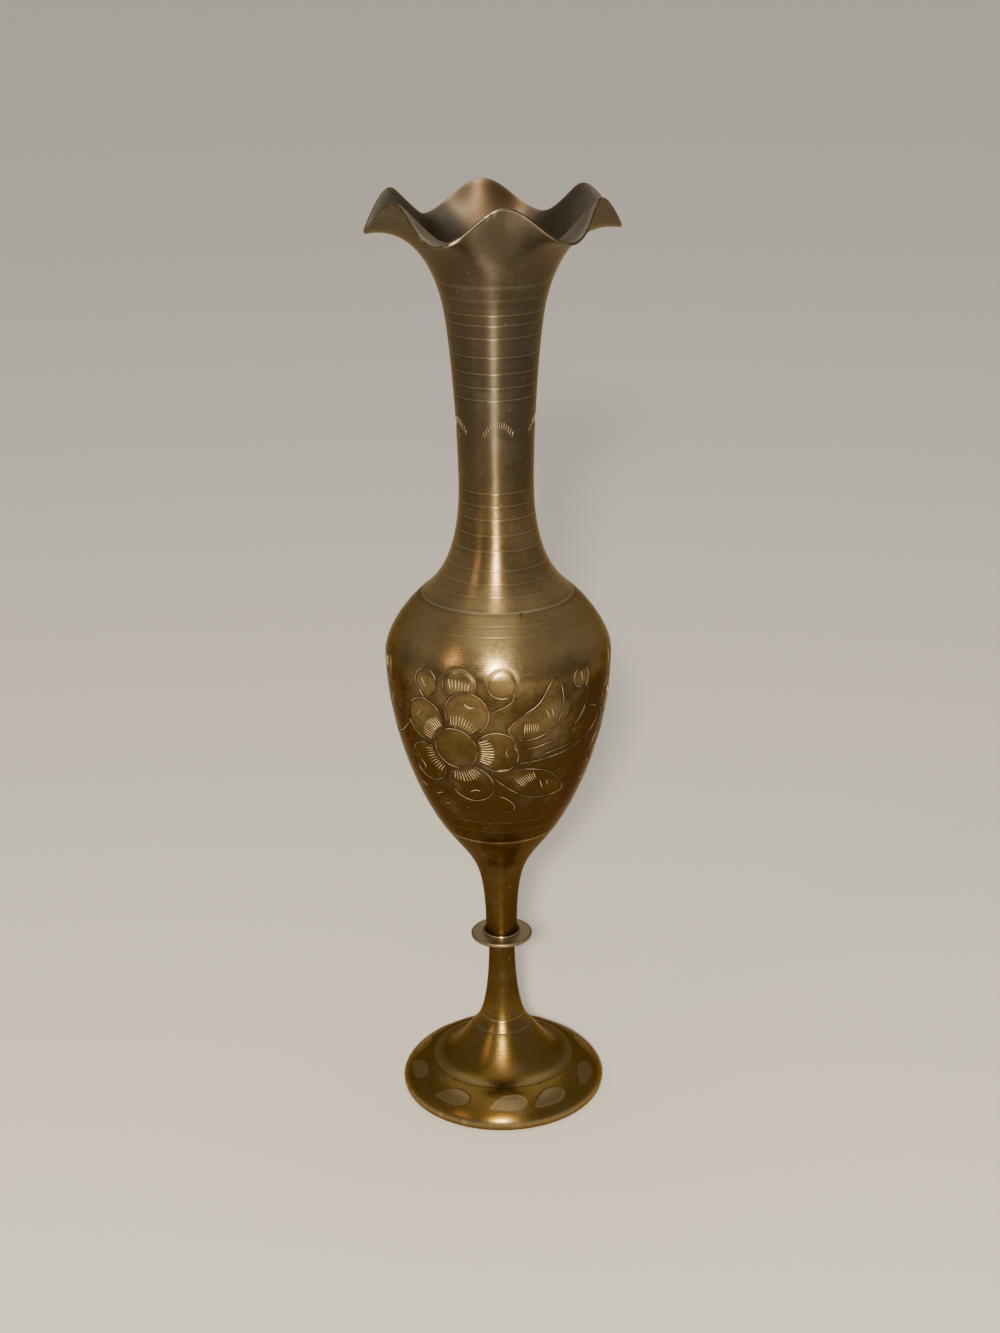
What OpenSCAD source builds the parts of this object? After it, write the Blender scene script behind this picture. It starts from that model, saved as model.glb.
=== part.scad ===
// Footed bud vase in brass: a hollow foot, a collar, a turned stem, a spun bowl
// and a spun neck that opens into a ruffled lip.
// Origin: centre of the circle that the foot stands on. +Z is up. Millimetres.

/* [Foot] */
// Widest radius of the foot
foot_r = 34.8; // [30:0.1:45]
// Height at which the foot is widest
foot_edge_h = 2.2; // [1.5:0.1:4]
// How far the edge rolls in below its widest line
foot_roll = 0.8; // [0.3:0.1:1.5]
// Radius of the crest, where the dome of the foot turns down
foot_crest_r = 23.7; // [19:0.1:28]
// Height of the crest
foot_crest_h = 10.1; // [8:0.1:14]
// Radius of the root, where the dome sweeps up into the stem
foot_root_r = 9.7; // [8:0.1:12]
// Height of the root
foot_root_h = 22.7; // [18:0.1:30]
// Radius of the foot's own stem
foot_stem_r = 4.4; // [4:0.1:6]
// Height of the foot, up to the collar
foot_h = 56; // [48:0.5:70]
// Thickness of the dome
foot_wall = 1.8; // [1.2:0.1:2.5]

/* [Collar] */
// Radius of the collar
collar_r = 10.4; // [8:0.1:14]
// Thickness of the collar
collar_t = 1.5; // [1.2:0.1:3]
// Radius of the collar's rounded edge
collar_round = 0.6; // [0.2:0.1:0.6]

/* [Upper stem] */
// Radius of the stem above the collar
stem_r = 5.3; // [4.6:0.1:7]
// Radius of the stem's upper end, under the bowl
stem_top_r = 19.5; // [16:0.1:22]
// Height of the stem from the collar to the bowl
stem_h = 42.4; // [36:0.2:52]
// Slope of the wall where stem and bowl meet, in degrees from level
stem_slope = 55.5; // [50:0.5:62]
// Wall of the cup in the stem's upper end
stem_wall = 2; // [1.5:0.1:3]
// Radius of the bead on the stem's lower end
bead_r = 6.4; // [6:0.1:8]
// Height of that bead
bead_h = 0.8; // [0.5:0.1:1.5]

/* [Bowl] */
// Widest radius of the bowl
bowl_r = 36.7; // [33:0.1:44]
// Height from the bowl's lower joint to its widest line
bowl_low_h = 60.5; // [50:0.5:74]
// Height from the bowl's widest line to the neck seam
bowl_top_h = 20.2; // [17:0.1:25]
// Radius of the bowl's mouth, at the neck seam
mouth_r = 24.4; // [21:0.1:27]
// Thickness of the bowl
bowl_wall = 1; // [0.8:0.1:1.5]

/* [Neck] */
// Radius of the neck's waist
neck_r = 11.9; // [10:0.1:15]
// Height from the neck seam to the waist
neck_low_h = 35.4; // [30:0.2:44]
// Height from the waist to the start of the flare
neck_top_h = 56.8; // [46:0.2:68]
// Radius of the neck where the flare starts
flare_r = 16; // [14:0.1:18]
// Slope of the shoulder at the neck seam, in degrees from level
shoulder_slope = 38.4; // [34:0.2:44]
// Thickness of the neck and the lip
neck_wall = 1; // [0.8:0.1:1.5]

/* [Lip] */
// Mean radius of the ruffled rim
lip_r = 37.2; // [31:0.1:44]
// Height from the start of the flare to the mean rim
lip_h = 26.6; // [22:0.1:32]
// Number of waves round the rim
ruffle_count = 6; // [4:1:8]
// Rise of each wave above the mean rim, and its fall below
ruffle_rise = 5.4; // [0:0.1:6.5]
// How far a crest draws in from the mean radius, and a trough pushes out
ruffle_pull = 1.7; // [0:0.1:2.5]
// Compass place of the first crest, in degrees from +X
ruffle_turn = 35.5; // [0:0.5:60]
// How late the ruffle grows on its way out: higher keeps it near the rim
ruffle_growth = 4.1; // [2.5:0.1:6]

/* [Turned lines] */
// Width of a turned line
line_w = 0.5; // [0.3:0.1:0.8]
// Number of lines in the band at the top of the neck, below the flare
neck_lines = 7; // [0:1:10]
// Distance between those lines
neck_line_step = 4.4; // [3:0.1:5]
// Number of lines in the band at the bottom of the neck
shoulder_lines = 8; // [0:1:8]
// Distance between those lines
shoulder_line_step = 4.4; // [3:0.1:4.5]

/* [Joints] */
// Length of the lap in each brazed joint, measured down the wall
lap = 3; // [2:0.1:4]
// Gap that the solder fills
braze_gap = 0.15; // [0.1:0.05:0.2]
// Fillet of solder at the free end of each lap
braze_fillet = 0.7; // [0.3:0.1:0.8]
// Outer radius of the threaded stud
stud_r = 2.5; // [2:0.1:3]
// Length of the stud
stud_l = 24; // [18:0.5:30]
// Pitch of its thread
stud_pitch = 0.8; // [0.7:0.1:1]
// Radial clearance between the stud and the holes it screws into
stud_clear = 0.05; // [0.05:0.01:0.1]
// Radial clearance between the stud and the collar's hole
collar_clear = 0.2; // [0.1:0.05:0.4]
// Room left past each end of the stud
stud_room = 1; // [0.5:0.1:2]

/* [Hidden] */
$fn = 96;
brass = "#8a6a32";
worn_brass = "#a08048";
dark_brass = "#6d5430";
solder = "#a9a79c";

// Heights, stacked up from the floor
collar_z = foot_h;
stem_z = collar_z + collar_t;
bowl_z = stem_z + stem_h;
belly_z = bowl_z + bowl_low_h;
seam_z = belly_z + bowl_top_h;
waist_z = seam_z + neck_low_h;
flare_z = waist_z + neck_top_h;
rim_z = flare_z + lip_h;

// Points per curve, waves round the lip, and the slope of the wall at each end of the flare
steps = 14;
lap_steps = 3;
lip_steps = 16;
lip_sides = 96;
flare_slope = 76.8;
rim_slope = 14.3;
lip_seat = 0.04;
flare_in_r = flare_r - neck_wall / sin(flare_slope);
stud_hole_r = stud_r + stud_clear;
stud_z = stem_z - stud_l / 2;
half_hole = stud_l / 2 + stud_room;

// Where the cup in the stem ends, where the neck's wall steps in to its tongue, and where the
// neck's inside stops below the flare, as shares of their curves
cup_floor = 0.62;
joggle = 0.3;
flare_join = 0.94;

// Turned lines: the first one's drop below the flare, and single lines on the bowl and the foot
first_line = 1.6;
shoulder_drops = [3.2, 6];
sump_rises = [line_w, 5.3, 9.5];
root_rises = [0, 3.6];

// A cubic curve through p[0] and p[3], steered by p[1] and p[2], and its direction of travel
function curve_at(p, t) = pow(1 - t, 3) * p[0] + 3 * pow(1 - t, 2) * t * p[1]
    + 3 * (1 - t) * t * t * p[2] + pow(t, 3) * p[3];
function curve_dir(p, t) = pow(1 - t, 2) * (p[1] - p[0]) + 2 * (1 - t) * t * (p[2] - p[1])
    + t * t * (p[3] - p[2]);
function unit(v) = v / norm(v);
function dir(a) = [cos(a), sin(a)];

// The point a distance in from the curve, on its left as it climbs
function inset_at(p, t, d) = let (u = unit(curve_dir(p, t))) curve_at(p, t) + d * [-u[1], u[0]];
function between(a, b, n = steps) = [for (i = [0:n]) a + (b - a) * i / n];
function run(p, shares, d) = [for (t = shares) inset_at(p, t, d)];
function backwards(v) = [for (i = [len(v) - 1:-1:0]) v[i]];
function after(a, b, n = steps) = [for (i = [1:n]) a + (b - a) * i / n];

// The share of a curve that a length of wall takes up at its start or at its end
function start_share(p, length) = length / norm(3 * (p[1] - p[0]));
function end_share(p, length) = length / norm(3 * (p[3] - p[2]));

// Outer profile, each curve climbing from its lower end: radius, height
foot_base = [foot_r - foot_roll, 0];
foot_edge = [foot_r, foot_edge_h];
foot_crest = [foot_crest_r, foot_crest_h];
foot_root = [foot_root_r, foot_root_h];
root_dir = dir(132);
edge_curve = [foot_base, foot_base + [foot_roll / 2, 0], foot_edge - [0, foot_edge_h / 2], foot_edge];
rim_curve = [foot_edge, foot_edge + [0, (foot_crest_h - foot_edge_h) * 0.3],
             foot_crest + [(foot_r - foot_crest_r) * 0.37, 0], foot_crest];
dome_curve = [foot_crest, foot_crest - [(foot_crest_r - foot_root_r) * 0.43, 0],
              foot_root - 4 * root_dir, foot_root];
foot_stem_curve = [foot_root, foot_root + 6.3 * root_dir,
                   [foot_stem_r, foot_h - (foot_h - foot_root_h) * 0.43], [foot_stem_r, foot_h]];

stem_end = [stem_r, stem_z];
bowl_end = [stem_top_r, bowl_z];
stem_curve = [stem_end, stem_end + [0, stem_h * 0.68],
              bowl_end - stem_h * 0.43 * dir(stem_slope), bowl_end];

belly = [bowl_r, belly_z];
seam = [mouth_r, seam_z];
seam_dir = dir(180 - shoulder_slope);
low_curve = [bowl_end, bowl_end + bowl_low_h * 0.19 * dir(stem_slope),
             belly - [0, bowl_low_h * 0.45], belly];
top_curve = [belly, belly + [0, bowl_top_h * 0.34], seam - 6.9 * seam_dir, seam];

waist = [neck_r, waist_z];
flare = [flare_r, flare_z];
shoulder_curve = [seam, seam + 6.9 * seam_dir, waist - [0, neck_low_h * 0.65], waist];
neck_curve = [waist, waist + [0, neck_top_h * 0.36], flare - 8 * dir(flare_slope), flare];
lip_curve = [flare, flare + 4.7 * dir(flare_slope),
             [lip_r, rim_z] - 16.1 * dir(rim_slope), [lip_r, rim_z]];

// Shares of the bowl's curves under each lap, so that the pieces there meet face to face
stem_lap = between(0, start_share(low_curve, lap), lap_steps);
stem_lap_past = start_share(low_curve, lap + braze_fillet);
neck_lap = between(1, 1 - end_share(top_curve, lap), lap_steps);
neck_lap_past = 1 - end_share(top_curve, lap + braze_fillet);
low_shares = concat(stem_lap, [stem_lap_past], after(stem_lap_past, 1));
top_shares = concat(after(0, neck_lap_past), backwards(neck_lap));

// Radius of a profile at a height, for lines turned into it
function radius_at(points, z) = lookup(z, [for (p = points) [p[1], p[0]]]);

// Small pointed tools, one at each height, to cut lines into an outline
module line_tools(points, heights) {
    for (z = heights)
        translate([radius_at(points, z), z]) rotate(45) square(line_w / sqrt(2), center = true);
}

// A round solid with lines turned into its outline
module turned(outline, surface, heights) {
    rotate_extrude()
        difference() {
            polygon(outline);
            line_tools(surface, heights);
        }
}

module foot() {
    outer = concat(run(edge_curve, between(0, 1), 0), run(rim_curve, after(0, 1), 0),
                   run(dome_curve, after(0, 1), 0), run(foot_stem_curve, after(0, 1), 0));
    inner = concat(run(rim_curve, after(0, 1), foot_wall), run(dome_curve, after(0, 1), foot_wall));
    roof_z = inner[len(inner) - 1][1];
    outline = concat(outer, [[0, foot_h], [0, roof_z]], backwards(inner),
                     [[foot_r - foot_roll - foot_wall, 0]]);
    color(brass)
        difference() {
            turned(outline, outer,
                   [foot_crest_h, for (rise = root_rises) foot_root_h + rise]);
            translate([0, 0, foot_h - half_hole])
                cylinder(r = stud_hole_r, h = half_hole + 1);
        }
}

module collar() {
    color(worn_brass)
        translate([0, 0, collar_z])
            rotate_extrude()
                difference() {
                    union() {
                        square([collar_r - collar_round, collar_t]);
                        translate([0, collar_round])
                            square([collar_r, collar_t - 2 * collar_round]);
                        for (z = [collar_round, collar_t - collar_round])
                            translate([collar_r - collar_round, z]) circle(collar_round);
                    }
                    translate([-1, -1]) square([1 + stud_r + collar_clear, collar_t + 2]);
                }
}

// The thread is drawn as rings: its flanks rise from the core to the stud's radius and back
module threaded_stud() {
    core_r = stud_r - 0.6 * stud_pitch;
    turns = floor((stud_l - 2 * stud_pitch) / stud_pitch);
    flanks = [for (i = [0:turns - 1], p = [[0, core_r], [0.4, stud_r], [0.6, stud_r]])
                  [p[1], (i + 1 + p[0]) * stud_pitch]];
    color(worn_brass)
        translate([0, 0, stud_z])
            rotate_extrude()
                polygon(concat([[0, 0], [core_r, 0]], flanks,
                               [[core_r, stud_l], [0, stud_l]]));
}

module upper_stem() {
    outer = run(stem_curve, between(0, 1), 0);
    cup = run(stem_curve, between(cup_floor, 1 - end_share(stem_curve, stem_wall)), stem_wall);
    plug_out = run(low_curve, stem_lap, bowl_wall + braze_gap);
    plug_in = run(low_curve, stem_lap, bowl_wall + braze_gap + stem_wall);
    outline = concat([[0, stem_z], [bead_r, stem_z], [bead_r, stem_z + bead_h / 2],
                      [bead_r - bead_h / 2, stem_z + bead_h],
                      [radius_at(outer, stem_z + bead_h), stem_z + bead_h]],
                     [for (p = outer) if (p[1] > stem_z + bead_h) p],
                     plug_out, backwards(plug_in), backwards(cup), [[0, cup[0][1]]]);
    color(brass)
        difference() {
            rotate_extrude() polygon(outline);
            translate([0, 0, stem_z - 1]) cylinder(r = stud_hole_r, h = half_hole + 1);
        }
}

module bowl() {
    outer = concat(run(low_curve, low_shares, 0), run(top_curve, top_shares, 0));
    inner = concat(run(low_curve, low_shares, bowl_wall), run(top_curve, top_shares, bowl_wall));
    color(brass)
        turned(concat(outer, backwards(inner)), outer,
               [for (drop = shoulder_drops) seam_z - drop, for (rise = sump_rises) bowl_z + rise]);
}

// Solder between the two walls of a lap, with a fillet against the free end
module braze_ring(p, shares, past) {
    end = shares[lap_steps];
    color(solder)
        rotate_extrude()
            polygon(concat(run(p, shares, bowl_wall), [inset_at(p, past, bowl_wall)],
                           [inset_at(p, end, bowl_wall + braze_gap + braze_fillet)],
                           backwards(run(p, shares, bowl_wall + braze_gap))));
}

module stem_braze_ring() {
    braze_ring(low_curve, stem_lap, stem_lap_past);
}

module neck_braze_ring() {
    braze_ring(top_curve, neck_lap, neck_lap_past);
}

// Outer surface of the lip: the flare, waved more and more towards the rim
function lip_point(t, a) = let (
        p = curve_at(lip_curve, t),
        wave = pow(t, ruffle_growth) * cos(ruffle_count * (a - ruffle_turn)),
        r = p[0] - ruffle_pull * wave)
    [r * cos(a), r * sin(a), p[1] + ruffle_rise * wave];

// Its normal, towards the inside of the trumpet, from two short steps across the surface
function lip_normal(t, a) = let (
        along = lip_point(t + 0.001, a) - lip_point(t - 0.001, a),
        round = lip_point(t, a + 0.1) - lip_point(t, a - 0.1))
    unit(cross(along, round));

function lip_inside(t, a) = lip_point(t, a) + neck_wall * lip_normal(t, a);

function level_ring(r, angles) = [for (a = angles) [r * cos(a), r * sin(a), flare_z]];

// Rings of points: up the outside, over the rim and down the inside, to a level bottom face
// that stands just inside both edges of the neck's top face
module lip() {
    angles = [for (j = [0:lip_sides - 1]) 360 * j / lip_sides];
    rings = concat(
        [level_ring(flare_r - lip_seat, angles)],
        [for (i = [1:lip_steps]) [for (a = angles) lip_point(i / lip_steps, a)]],
        [for (i = [lip_steps:-1:1]) [for (a = angles) lip_inside(i / lip_steps, a)]],
        [level_ring(flare_in_r + lip_seat, angles)]);
    count = len(rings);
    polyhedron(
        points = [for (ring = rings, p = ring) p],
        faces = [for (i = [0:count - 1], j = [0:lip_sides - 1])
            let (k = (i + 1) % count, n = (j + 1) % lip_sides)
            for (f = [[i * lip_sides + j, k * lip_sides + j, k * lip_sides + n],
                      [i * lip_sides + j, k * lip_sides + n, i * lip_sides + n]]) f]);
}

module neck_and_lip() {
    outer = concat(run(shoulder_curve, between(0, 1), 0), run(neck_curve, after(0, 1), 0));
    inner = concat(run(shoulder_curve, between(joggle, 1), neck_wall),
                   run(neck_curve, after(0, flare_join), neck_wall));
    tongue_out = run(top_curve, neck_lap, bowl_wall + braze_gap);
    tongue_in = run(top_curve, neck_lap, bowl_wall + braze_gap + neck_wall);
    outline = concat(outer, [[flare_in_r, flare_z]], backwards(inner),
                     tongue_in, backwards(tongue_out));
    top_band = [for (i = [0:neck_lines - 1]) flare_z - first_line - i * neck_line_step];
    low_band = [for (i = [1:shoulder_lines]) seam_z + i * shoulder_line_step];
    color(dark_brass) {
        turned(outline, outer, concat(top_band, low_band));
        lip();
    }
}

foot();
collar();
threaded_stud();
upper_stem();
stem_braze_ring();
bowl();
neck_braze_ring();
neck_and_lip();
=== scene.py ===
"""A footed bud vase in aged brass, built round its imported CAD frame.

Every length is in metres. +Z is up, the foot stands on z = 0, and the front faces -Y.
Turned pieces are profiles carried round the axis; the lip is a trumpet with a wave in it;
the engraving is a set of cuts drawn flat, in true size, and wrapped onto the metal.
"""

import math

import bpy
import mathutils
import numpy as np
from bpy.props import FloatProperty, FloatVectorProperty, IntProperty, PointerProperty
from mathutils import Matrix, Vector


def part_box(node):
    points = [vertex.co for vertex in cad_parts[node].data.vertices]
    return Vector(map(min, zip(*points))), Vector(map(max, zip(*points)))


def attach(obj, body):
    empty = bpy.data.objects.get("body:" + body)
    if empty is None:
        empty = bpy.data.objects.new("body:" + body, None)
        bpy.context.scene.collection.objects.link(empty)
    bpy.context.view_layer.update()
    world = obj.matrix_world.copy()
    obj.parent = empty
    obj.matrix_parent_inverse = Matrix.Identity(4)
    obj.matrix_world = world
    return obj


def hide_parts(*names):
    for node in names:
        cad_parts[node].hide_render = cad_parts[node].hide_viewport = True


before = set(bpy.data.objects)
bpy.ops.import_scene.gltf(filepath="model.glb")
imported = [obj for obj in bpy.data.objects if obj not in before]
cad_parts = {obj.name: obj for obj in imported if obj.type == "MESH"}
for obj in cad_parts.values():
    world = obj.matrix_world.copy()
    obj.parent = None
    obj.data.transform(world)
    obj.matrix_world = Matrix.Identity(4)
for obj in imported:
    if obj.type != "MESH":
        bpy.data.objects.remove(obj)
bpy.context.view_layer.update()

bl_info = {
    "name": "Brass bud vase",
    "version": (1, 0, 0),
    "blender": (4, 5, 0),
    "location": "3D View > Sidebar > Bud vase",
    "description": "Builds an engraved brass bud vase round its CAD frame",
    "category": "Add Mesh",
}

MM = 0.001
FRONT = -math.pi / 2


def corner(node, end, axis):
    """One coordinate of a CAD node's box: end 0 is its lowest corner, end 1 its highest."""
    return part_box(node)[end][axis]


def length(name, default, description):
    """A length that a user may change, in metres."""
    return FloatProperty(name=name, default=default, description=description,
                         unit="LENGTH", precision=5)


def colour(name, default, description):
    """A linear colour that a user may change."""
    return FloatVectorProperty(name=name, default=default, description=description,
                               subtype="COLOR", size=3, min=0.0, max=1.0)


def factor(name, default, description, top=1.0):
    """A plain number from 0 to top."""
    return FloatProperty(name=name, default=default, description=description,
                         subtype="FACTOR", min=0.0, max=top)


# --------------------------------------------------------------------------- settings

class VaseSizes(bpy.types.PropertyGroup):
    """Sizes of the vase. Outer ones come from the CAD frame."""
    foot_r: length("Foot radius", corner("foot", 1, 0), "Widest radius of the foot")
    foot_edge_h: length("Foot edge height", 2.2 * MM, "Height at which the foot is widest")
    foot_roll: length("Foot roll", 0.8 * MM, "How far the edge rolls in under its widest line")
    foot_crest_r: length("Crest radius", 23.7 * MM, "Radius where the dome turns down")
    foot_crest_h: length("Crest height", 10.1 * MM, "Height of that crest")
    foot_root_r: length("Root radius", 9.7 * MM, "Radius where the dome sweeps up to the stem")
    foot_root_h: length("Root height", 22.7 * MM, "Height of that root")
    foot_stem_r: length("Foot stem radius", 4.4 * MM, "Radius of the foot's own stem")
    foot_h: length("Foot height", corner("foot", 1, 2), "Height of the foot")
    foot_wall: length("Foot wall", 1.8 * MM, "Thickness of the dome")
    collar_r: length("Collar radius", corner("collar", 1, 0), "Radius of the collar")
    collar_round: length("Collar edge", 0.6 * MM, "Radius of the collar's rounded edge")
    stem_z: length("Stem base", corner("upper_stem", 0, 2), "Height where the stem starts")
    stem_r: length("Stem radius", 5.3 * MM, "Radius of the stem above the collar")
    bead_r: length("Bead radius", 6.4 * MM, "Radius of the bead on the stem's lower end")
    bead_h: length("Bead height", 0.8 * MM, "Height of that bead")
    stem_top_r: length("Stem top radius", 19.5 * MM, "Radius where stem and bowl meet")
    stem_slope: FloatProperty(name="Stem slope", default=math.radians(55.5), unit="ROTATION",
                              description="Slope of the wall where stem and bowl meet")
    stem_wall: length("Cup wall", 2.0 * MM, "Wall of the cup in the stem's upper end")
    bowl_z: length("Bowl base", corner("bowl", 0, 2), "Height where the bowl starts")
    belly_r: length("Belly radius", corner("bowl", 1, 0), "Widest radius of the bowl")
    belly_h: length("Belly height", 60.5 * MM, "Height of the belly above the bowl's base")
    seam_z: length("Seam height", corner("bowl", 1, 2), "Height of the seam under the neck")
    seam_r: length("Seam radius", 24.4 * MM, "Radius of the bowl's mouth, at the seam")
    shoulder_slope: FloatProperty(name="Shoulder slope", default=math.radians(38.4),
                                  unit="ROTATION", description="Slope of the wall at the seam")
    wall: length("Sheet", 1.0 * MM, "Thickness of the bowl, the neck and the lip")
    waist_r: length("Waist radius", 11.9 * MM, "Radius of the neck's waist")
    waist_h: length("Waist height", 35.4 * MM, "Height of the waist above the seam")
    flare_r: length("Flare radius", 16.0 * MM, "Radius where the flare starts")
    flare_h: length("Flare height", 56.8 * MM, "Height of the flare's start above the waist")
    lip_r: length("Lip radius", 37.2 * MM, "Mean radius of the ruffled rim")
    lip_h: length("Lip height", 26.6 * MM, "Height of the mean rim above the flare's start")
    waves: IntProperty(name="Waves", default=6, min=0, description="Waves round the lip")
    wave_rise: length("Wave rise", 5.4 * MM, "Rise of each wave above the mean rim")
    wave_pull: length("Wave pull", 1.7 * MM, "How far a crest draws in")
    wave_turn: FloatProperty(name="First crest", default=math.radians(35.5), unit="ROTATION",
                             description="Azimuth of the first crest")
    wave_growth: factor("Wave growth", 4.1, "How late the wave grows towards the rim", 8.0)
    lap: length("Lap", 3.0 * MM, "Length of the lap in each brazed joint")
    braze_gap: length("Braze gap", 0.15 * MM, "Gap that the solder fills")
    stud_hole_r: length("Stud hole radius", 2.55 * MM, "Radius of the holes for the stud")
    collar_hole_r: length("Collar hole radius", 2.7 * MM, "Radius of the collar's hole")
    stud_hole_l: length("Stud hole depth", 13.0 * MM, "Depth of each hole for the stud")
    line_w: length("Line width", 0.46 * MM, "Width of a turned line")
    line_depth: length("Line depth", 0.10 * MM, "Depth of a turned line")
    cut_w: length("Cut half-width", 0.10 * MM, "Half the width of an engraver's cut")
    outline_w: length("Outline half-width", 0.10 * MM, "Half the width of an outline's line")
    chase_w: length("Chasing width", 0.50 * MM, "Half the width of a chased outline")
    chase_depth: length("Chasing depth", 0.14 * MM, "Depth of a chased outline")
    skin: length("Skin", 0.08 * MM, "How far the engraved band lies under the bowl's profile")


class VaseFinish(bpy.types.PropertyGroup):
    """Colours of the aged brass and of the joints."""
    # Umber is also the dark of the chased outlines, painted shade in their grooves.
    umber: colour("Umber", (0.055, 0.036, 0.012), "Dark patina of the bowl")
    # Gold also paints the sheen on the bowl's shoulder and at the foot of the neck.
    gold: colour("Old gold", (0.315, 0.215, 0.088), "Lighter patina of the bowl")
    olive: colour("Olive", (0.058, 0.046, 0.030), "Dark patina of the neck")
    straw: colour("Straw", (0.108, 0.083, 0.052), "Lighter patina of the neck")
    # Amber and honey are partly patina and partly a painted reflection of a warm floor in the stem
    # and foot.
    amber: colour("Amber", (0.090, 0.048, 0.007), "Warm patina of the stem")
    honey: colour("Honey", (0.150, 0.088, 0.016), "Yellow patina of the foot")
    grey: colour("Grey bloom", (0.165, 0.142, 0.112), "Dull film inside the lip and on the collar")
    # Copper also paints the warm glow reflected inside the back of the lip.
    copper: colour("Copper", (0.230, 0.110, 0.038), "Copper bloom inside the lip")
    # Rubbed brass also paints highlights: the sheen on the shoulder and neck, the bright front of
    # the rim, the lit root and band of the foot, and glints along the outlines.
    rubbed: colour("Rubbed brass", (0.860, 0.730, 0.500), "Bare metal in cuts and on edges")
    solder: colour("Solder", (0.420, 0.410, 0.380), "Dull solder in the joints")
    # Grime also paints the shade beside the chased outlines.
    grime_and_shade: colour("Grime", (0.030, 0.020, 0.010), "Dirt in pits and along lines")
    rough: factor("Roughness", 0.40, "Roughness of the patina")
    edge: colour("Edge tint", (0.72, 0.59, 0.43), "Tint of the metal seen at a slant")
    coat: factor("Lacquer", 0.08, "Strength of the old lacquer")
    coat_rough: factor("Lacquer roughness", 0.22, "Roughness of the old lacquer")


class StageSettings(bpy.types.PropertyGroup):
    """Camera, lights and floor."""
    camera_back: length("Camera distance", 0.6108, "Camera's distance in front of the axis")
    camera_up: length("Camera height", 0.3844, "Camera's height above the floor")
    camera_side: length("Camera side", 0.0005, "Camera's place to the right of the axis")
    camera_pitch: FloatProperty(name="Pitch", default=math.radians(20.67), unit="ROTATION",
                                description="How far the camera looks down")
    camera_roll: FloatProperty(name="Roll", default=math.radians(-0.68), unit="ROTATION",
                               description="Lean of the camera about its line of sight")
    lens: FloatProperty(name="Lens", default=54.2, unit="CAMERA", description="Focal length")
    floor_size: length("Floor size", 24.0, "Side of the square floor")
    floor: colour("Floor", (0.80, 0.75, 0.665), "Pale floor")
    key_power: FloatProperty(name="Key", default=22.0, unit="POWER", description="Key light")
    fill_power: FloatProperty(name="Fill", default=6.0, unit="POWER", description="Soft fill")
    side_power: FloatProperty(name="Side", default=0.9, unit="POWER", description="Warm side light")
    sun: factor("Overhead", 0.6, "Brightness of the soft light from above", 20.0)
    sky: factor("Sky", 0.42, "Brightness of the surroundings", 5.0)


def settings():
    """The three groups of settings, as the scene holds them."""
    scene = bpy.context.scene
    return scene.vase_sizes, scene.vase_finish, scene.vase_stage


# --------------------------------------------------------------------------- profiles

def heading(angle):
    """Unit vector at an angle from level: (radial, up)."""
    return np.array([math.cos(angle), math.sin(angle)])


def cubic(points, t):
    """Cubic curve through the first and last of four points, steered by the middle two."""
    p = np.asarray(points, float)
    t = np.asarray(t, float)[..., None]
    return ((1 - t) ** 3 * p[0] + 3 * (1 - t) ** 2 * t * p[1]
            + 3 * (1 - t) * t ** 2 * p[2] + t ** 3 * p[3])


class Profile:
    """Cubic curves joined end to end, climbing, and looked up by the length along them.

    The normal is the direction of travel turned a right angle clockwise, which is outwards.
    """

    def __init__(self, *curves, samples=800):
        parts = [cubic(c, np.linspace(0, 1, samples))[(0 if i == 0 else 1):]
                 for i, c in enumerate(curves)]
        self.points = np.concatenate(parts)
        steps = np.hypot(*np.diff(self.points, axis=0).T)
        self.s = np.concatenate([[0.0], np.cumsum(steps)])
        self.length = self.s[-1]
        ends = np.cumsum([len(p) for p in parts]) - 1
        self.joints = self.s[ends]
        along = np.gradient(self.points, self.s, axis=0)
        along /= np.linalg.norm(along, axis=1, keepdims=True)
        self.normals = np.stack([along[:, 1], -along[:, 0]], 1)

    def at(self, s, out=0.0):
        """Radius and height at each length s, moved outwards along the normal by out."""
        r, z = (np.interp(s, self.s, self.points[:, k]) for k in (0, 1))
        nr, nz = self.normal(s)
        return r + out * nr, z + out * nz

    def normal(self, s):
        """Radial and upward parts of the normal at each length s."""
        return tuple(np.interp(s, self.s, self.normals[:, k]) for k in (0, 1))

    def at_height(self, z):
        """Length along the profile at a height."""
        return float(np.interp(z, self.points[:, 1], self.s))


def foot_profile(v):
    """Outside of the foot: rolled edge, dome, crest, sweep and stem."""
    base = np.array([v.foot_r - v.foot_roll, 0.0])
    edge = np.array([v.foot_r, v.foot_edge_h])
    crest = np.array([v.foot_crest_r, v.foot_crest_h])
    root = np.array([v.foot_root_r, v.foot_root_h])
    top = np.array([v.foot_stem_r, v.foot_h])
    sweep = heading(math.radians(132))
    return Profile(
        [base, base + [v.foot_roll / 2, 0], edge - [0, v.foot_edge_h / 2], edge],
        [edge, edge + [0, (v.foot_crest_h - v.foot_edge_h) * 0.3],
         crest + [(v.foot_r - v.foot_crest_r) * 0.37, 0], crest],
        [crest, crest - [(v.foot_crest_r - v.foot_root_r) * 0.43, 0],
         root - 4 * MM * sweep, root],
        [root, root + 6.3 * MM * sweep,
         top - [0, (v.foot_h - v.foot_root_h) * 0.43], top])


def stem_profile(v):
    """Outside of the upper stem, from the collar to the bowl."""
    low = np.array([v.stem_r, v.stem_z])
    high = np.array([v.stem_top_r, v.bowl_z])
    rise = v.bowl_z - v.stem_z
    return Profile([low, low + [0, rise * 0.68],
                    high - rise * 0.43 * heading(v.stem_slope), high])


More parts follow.
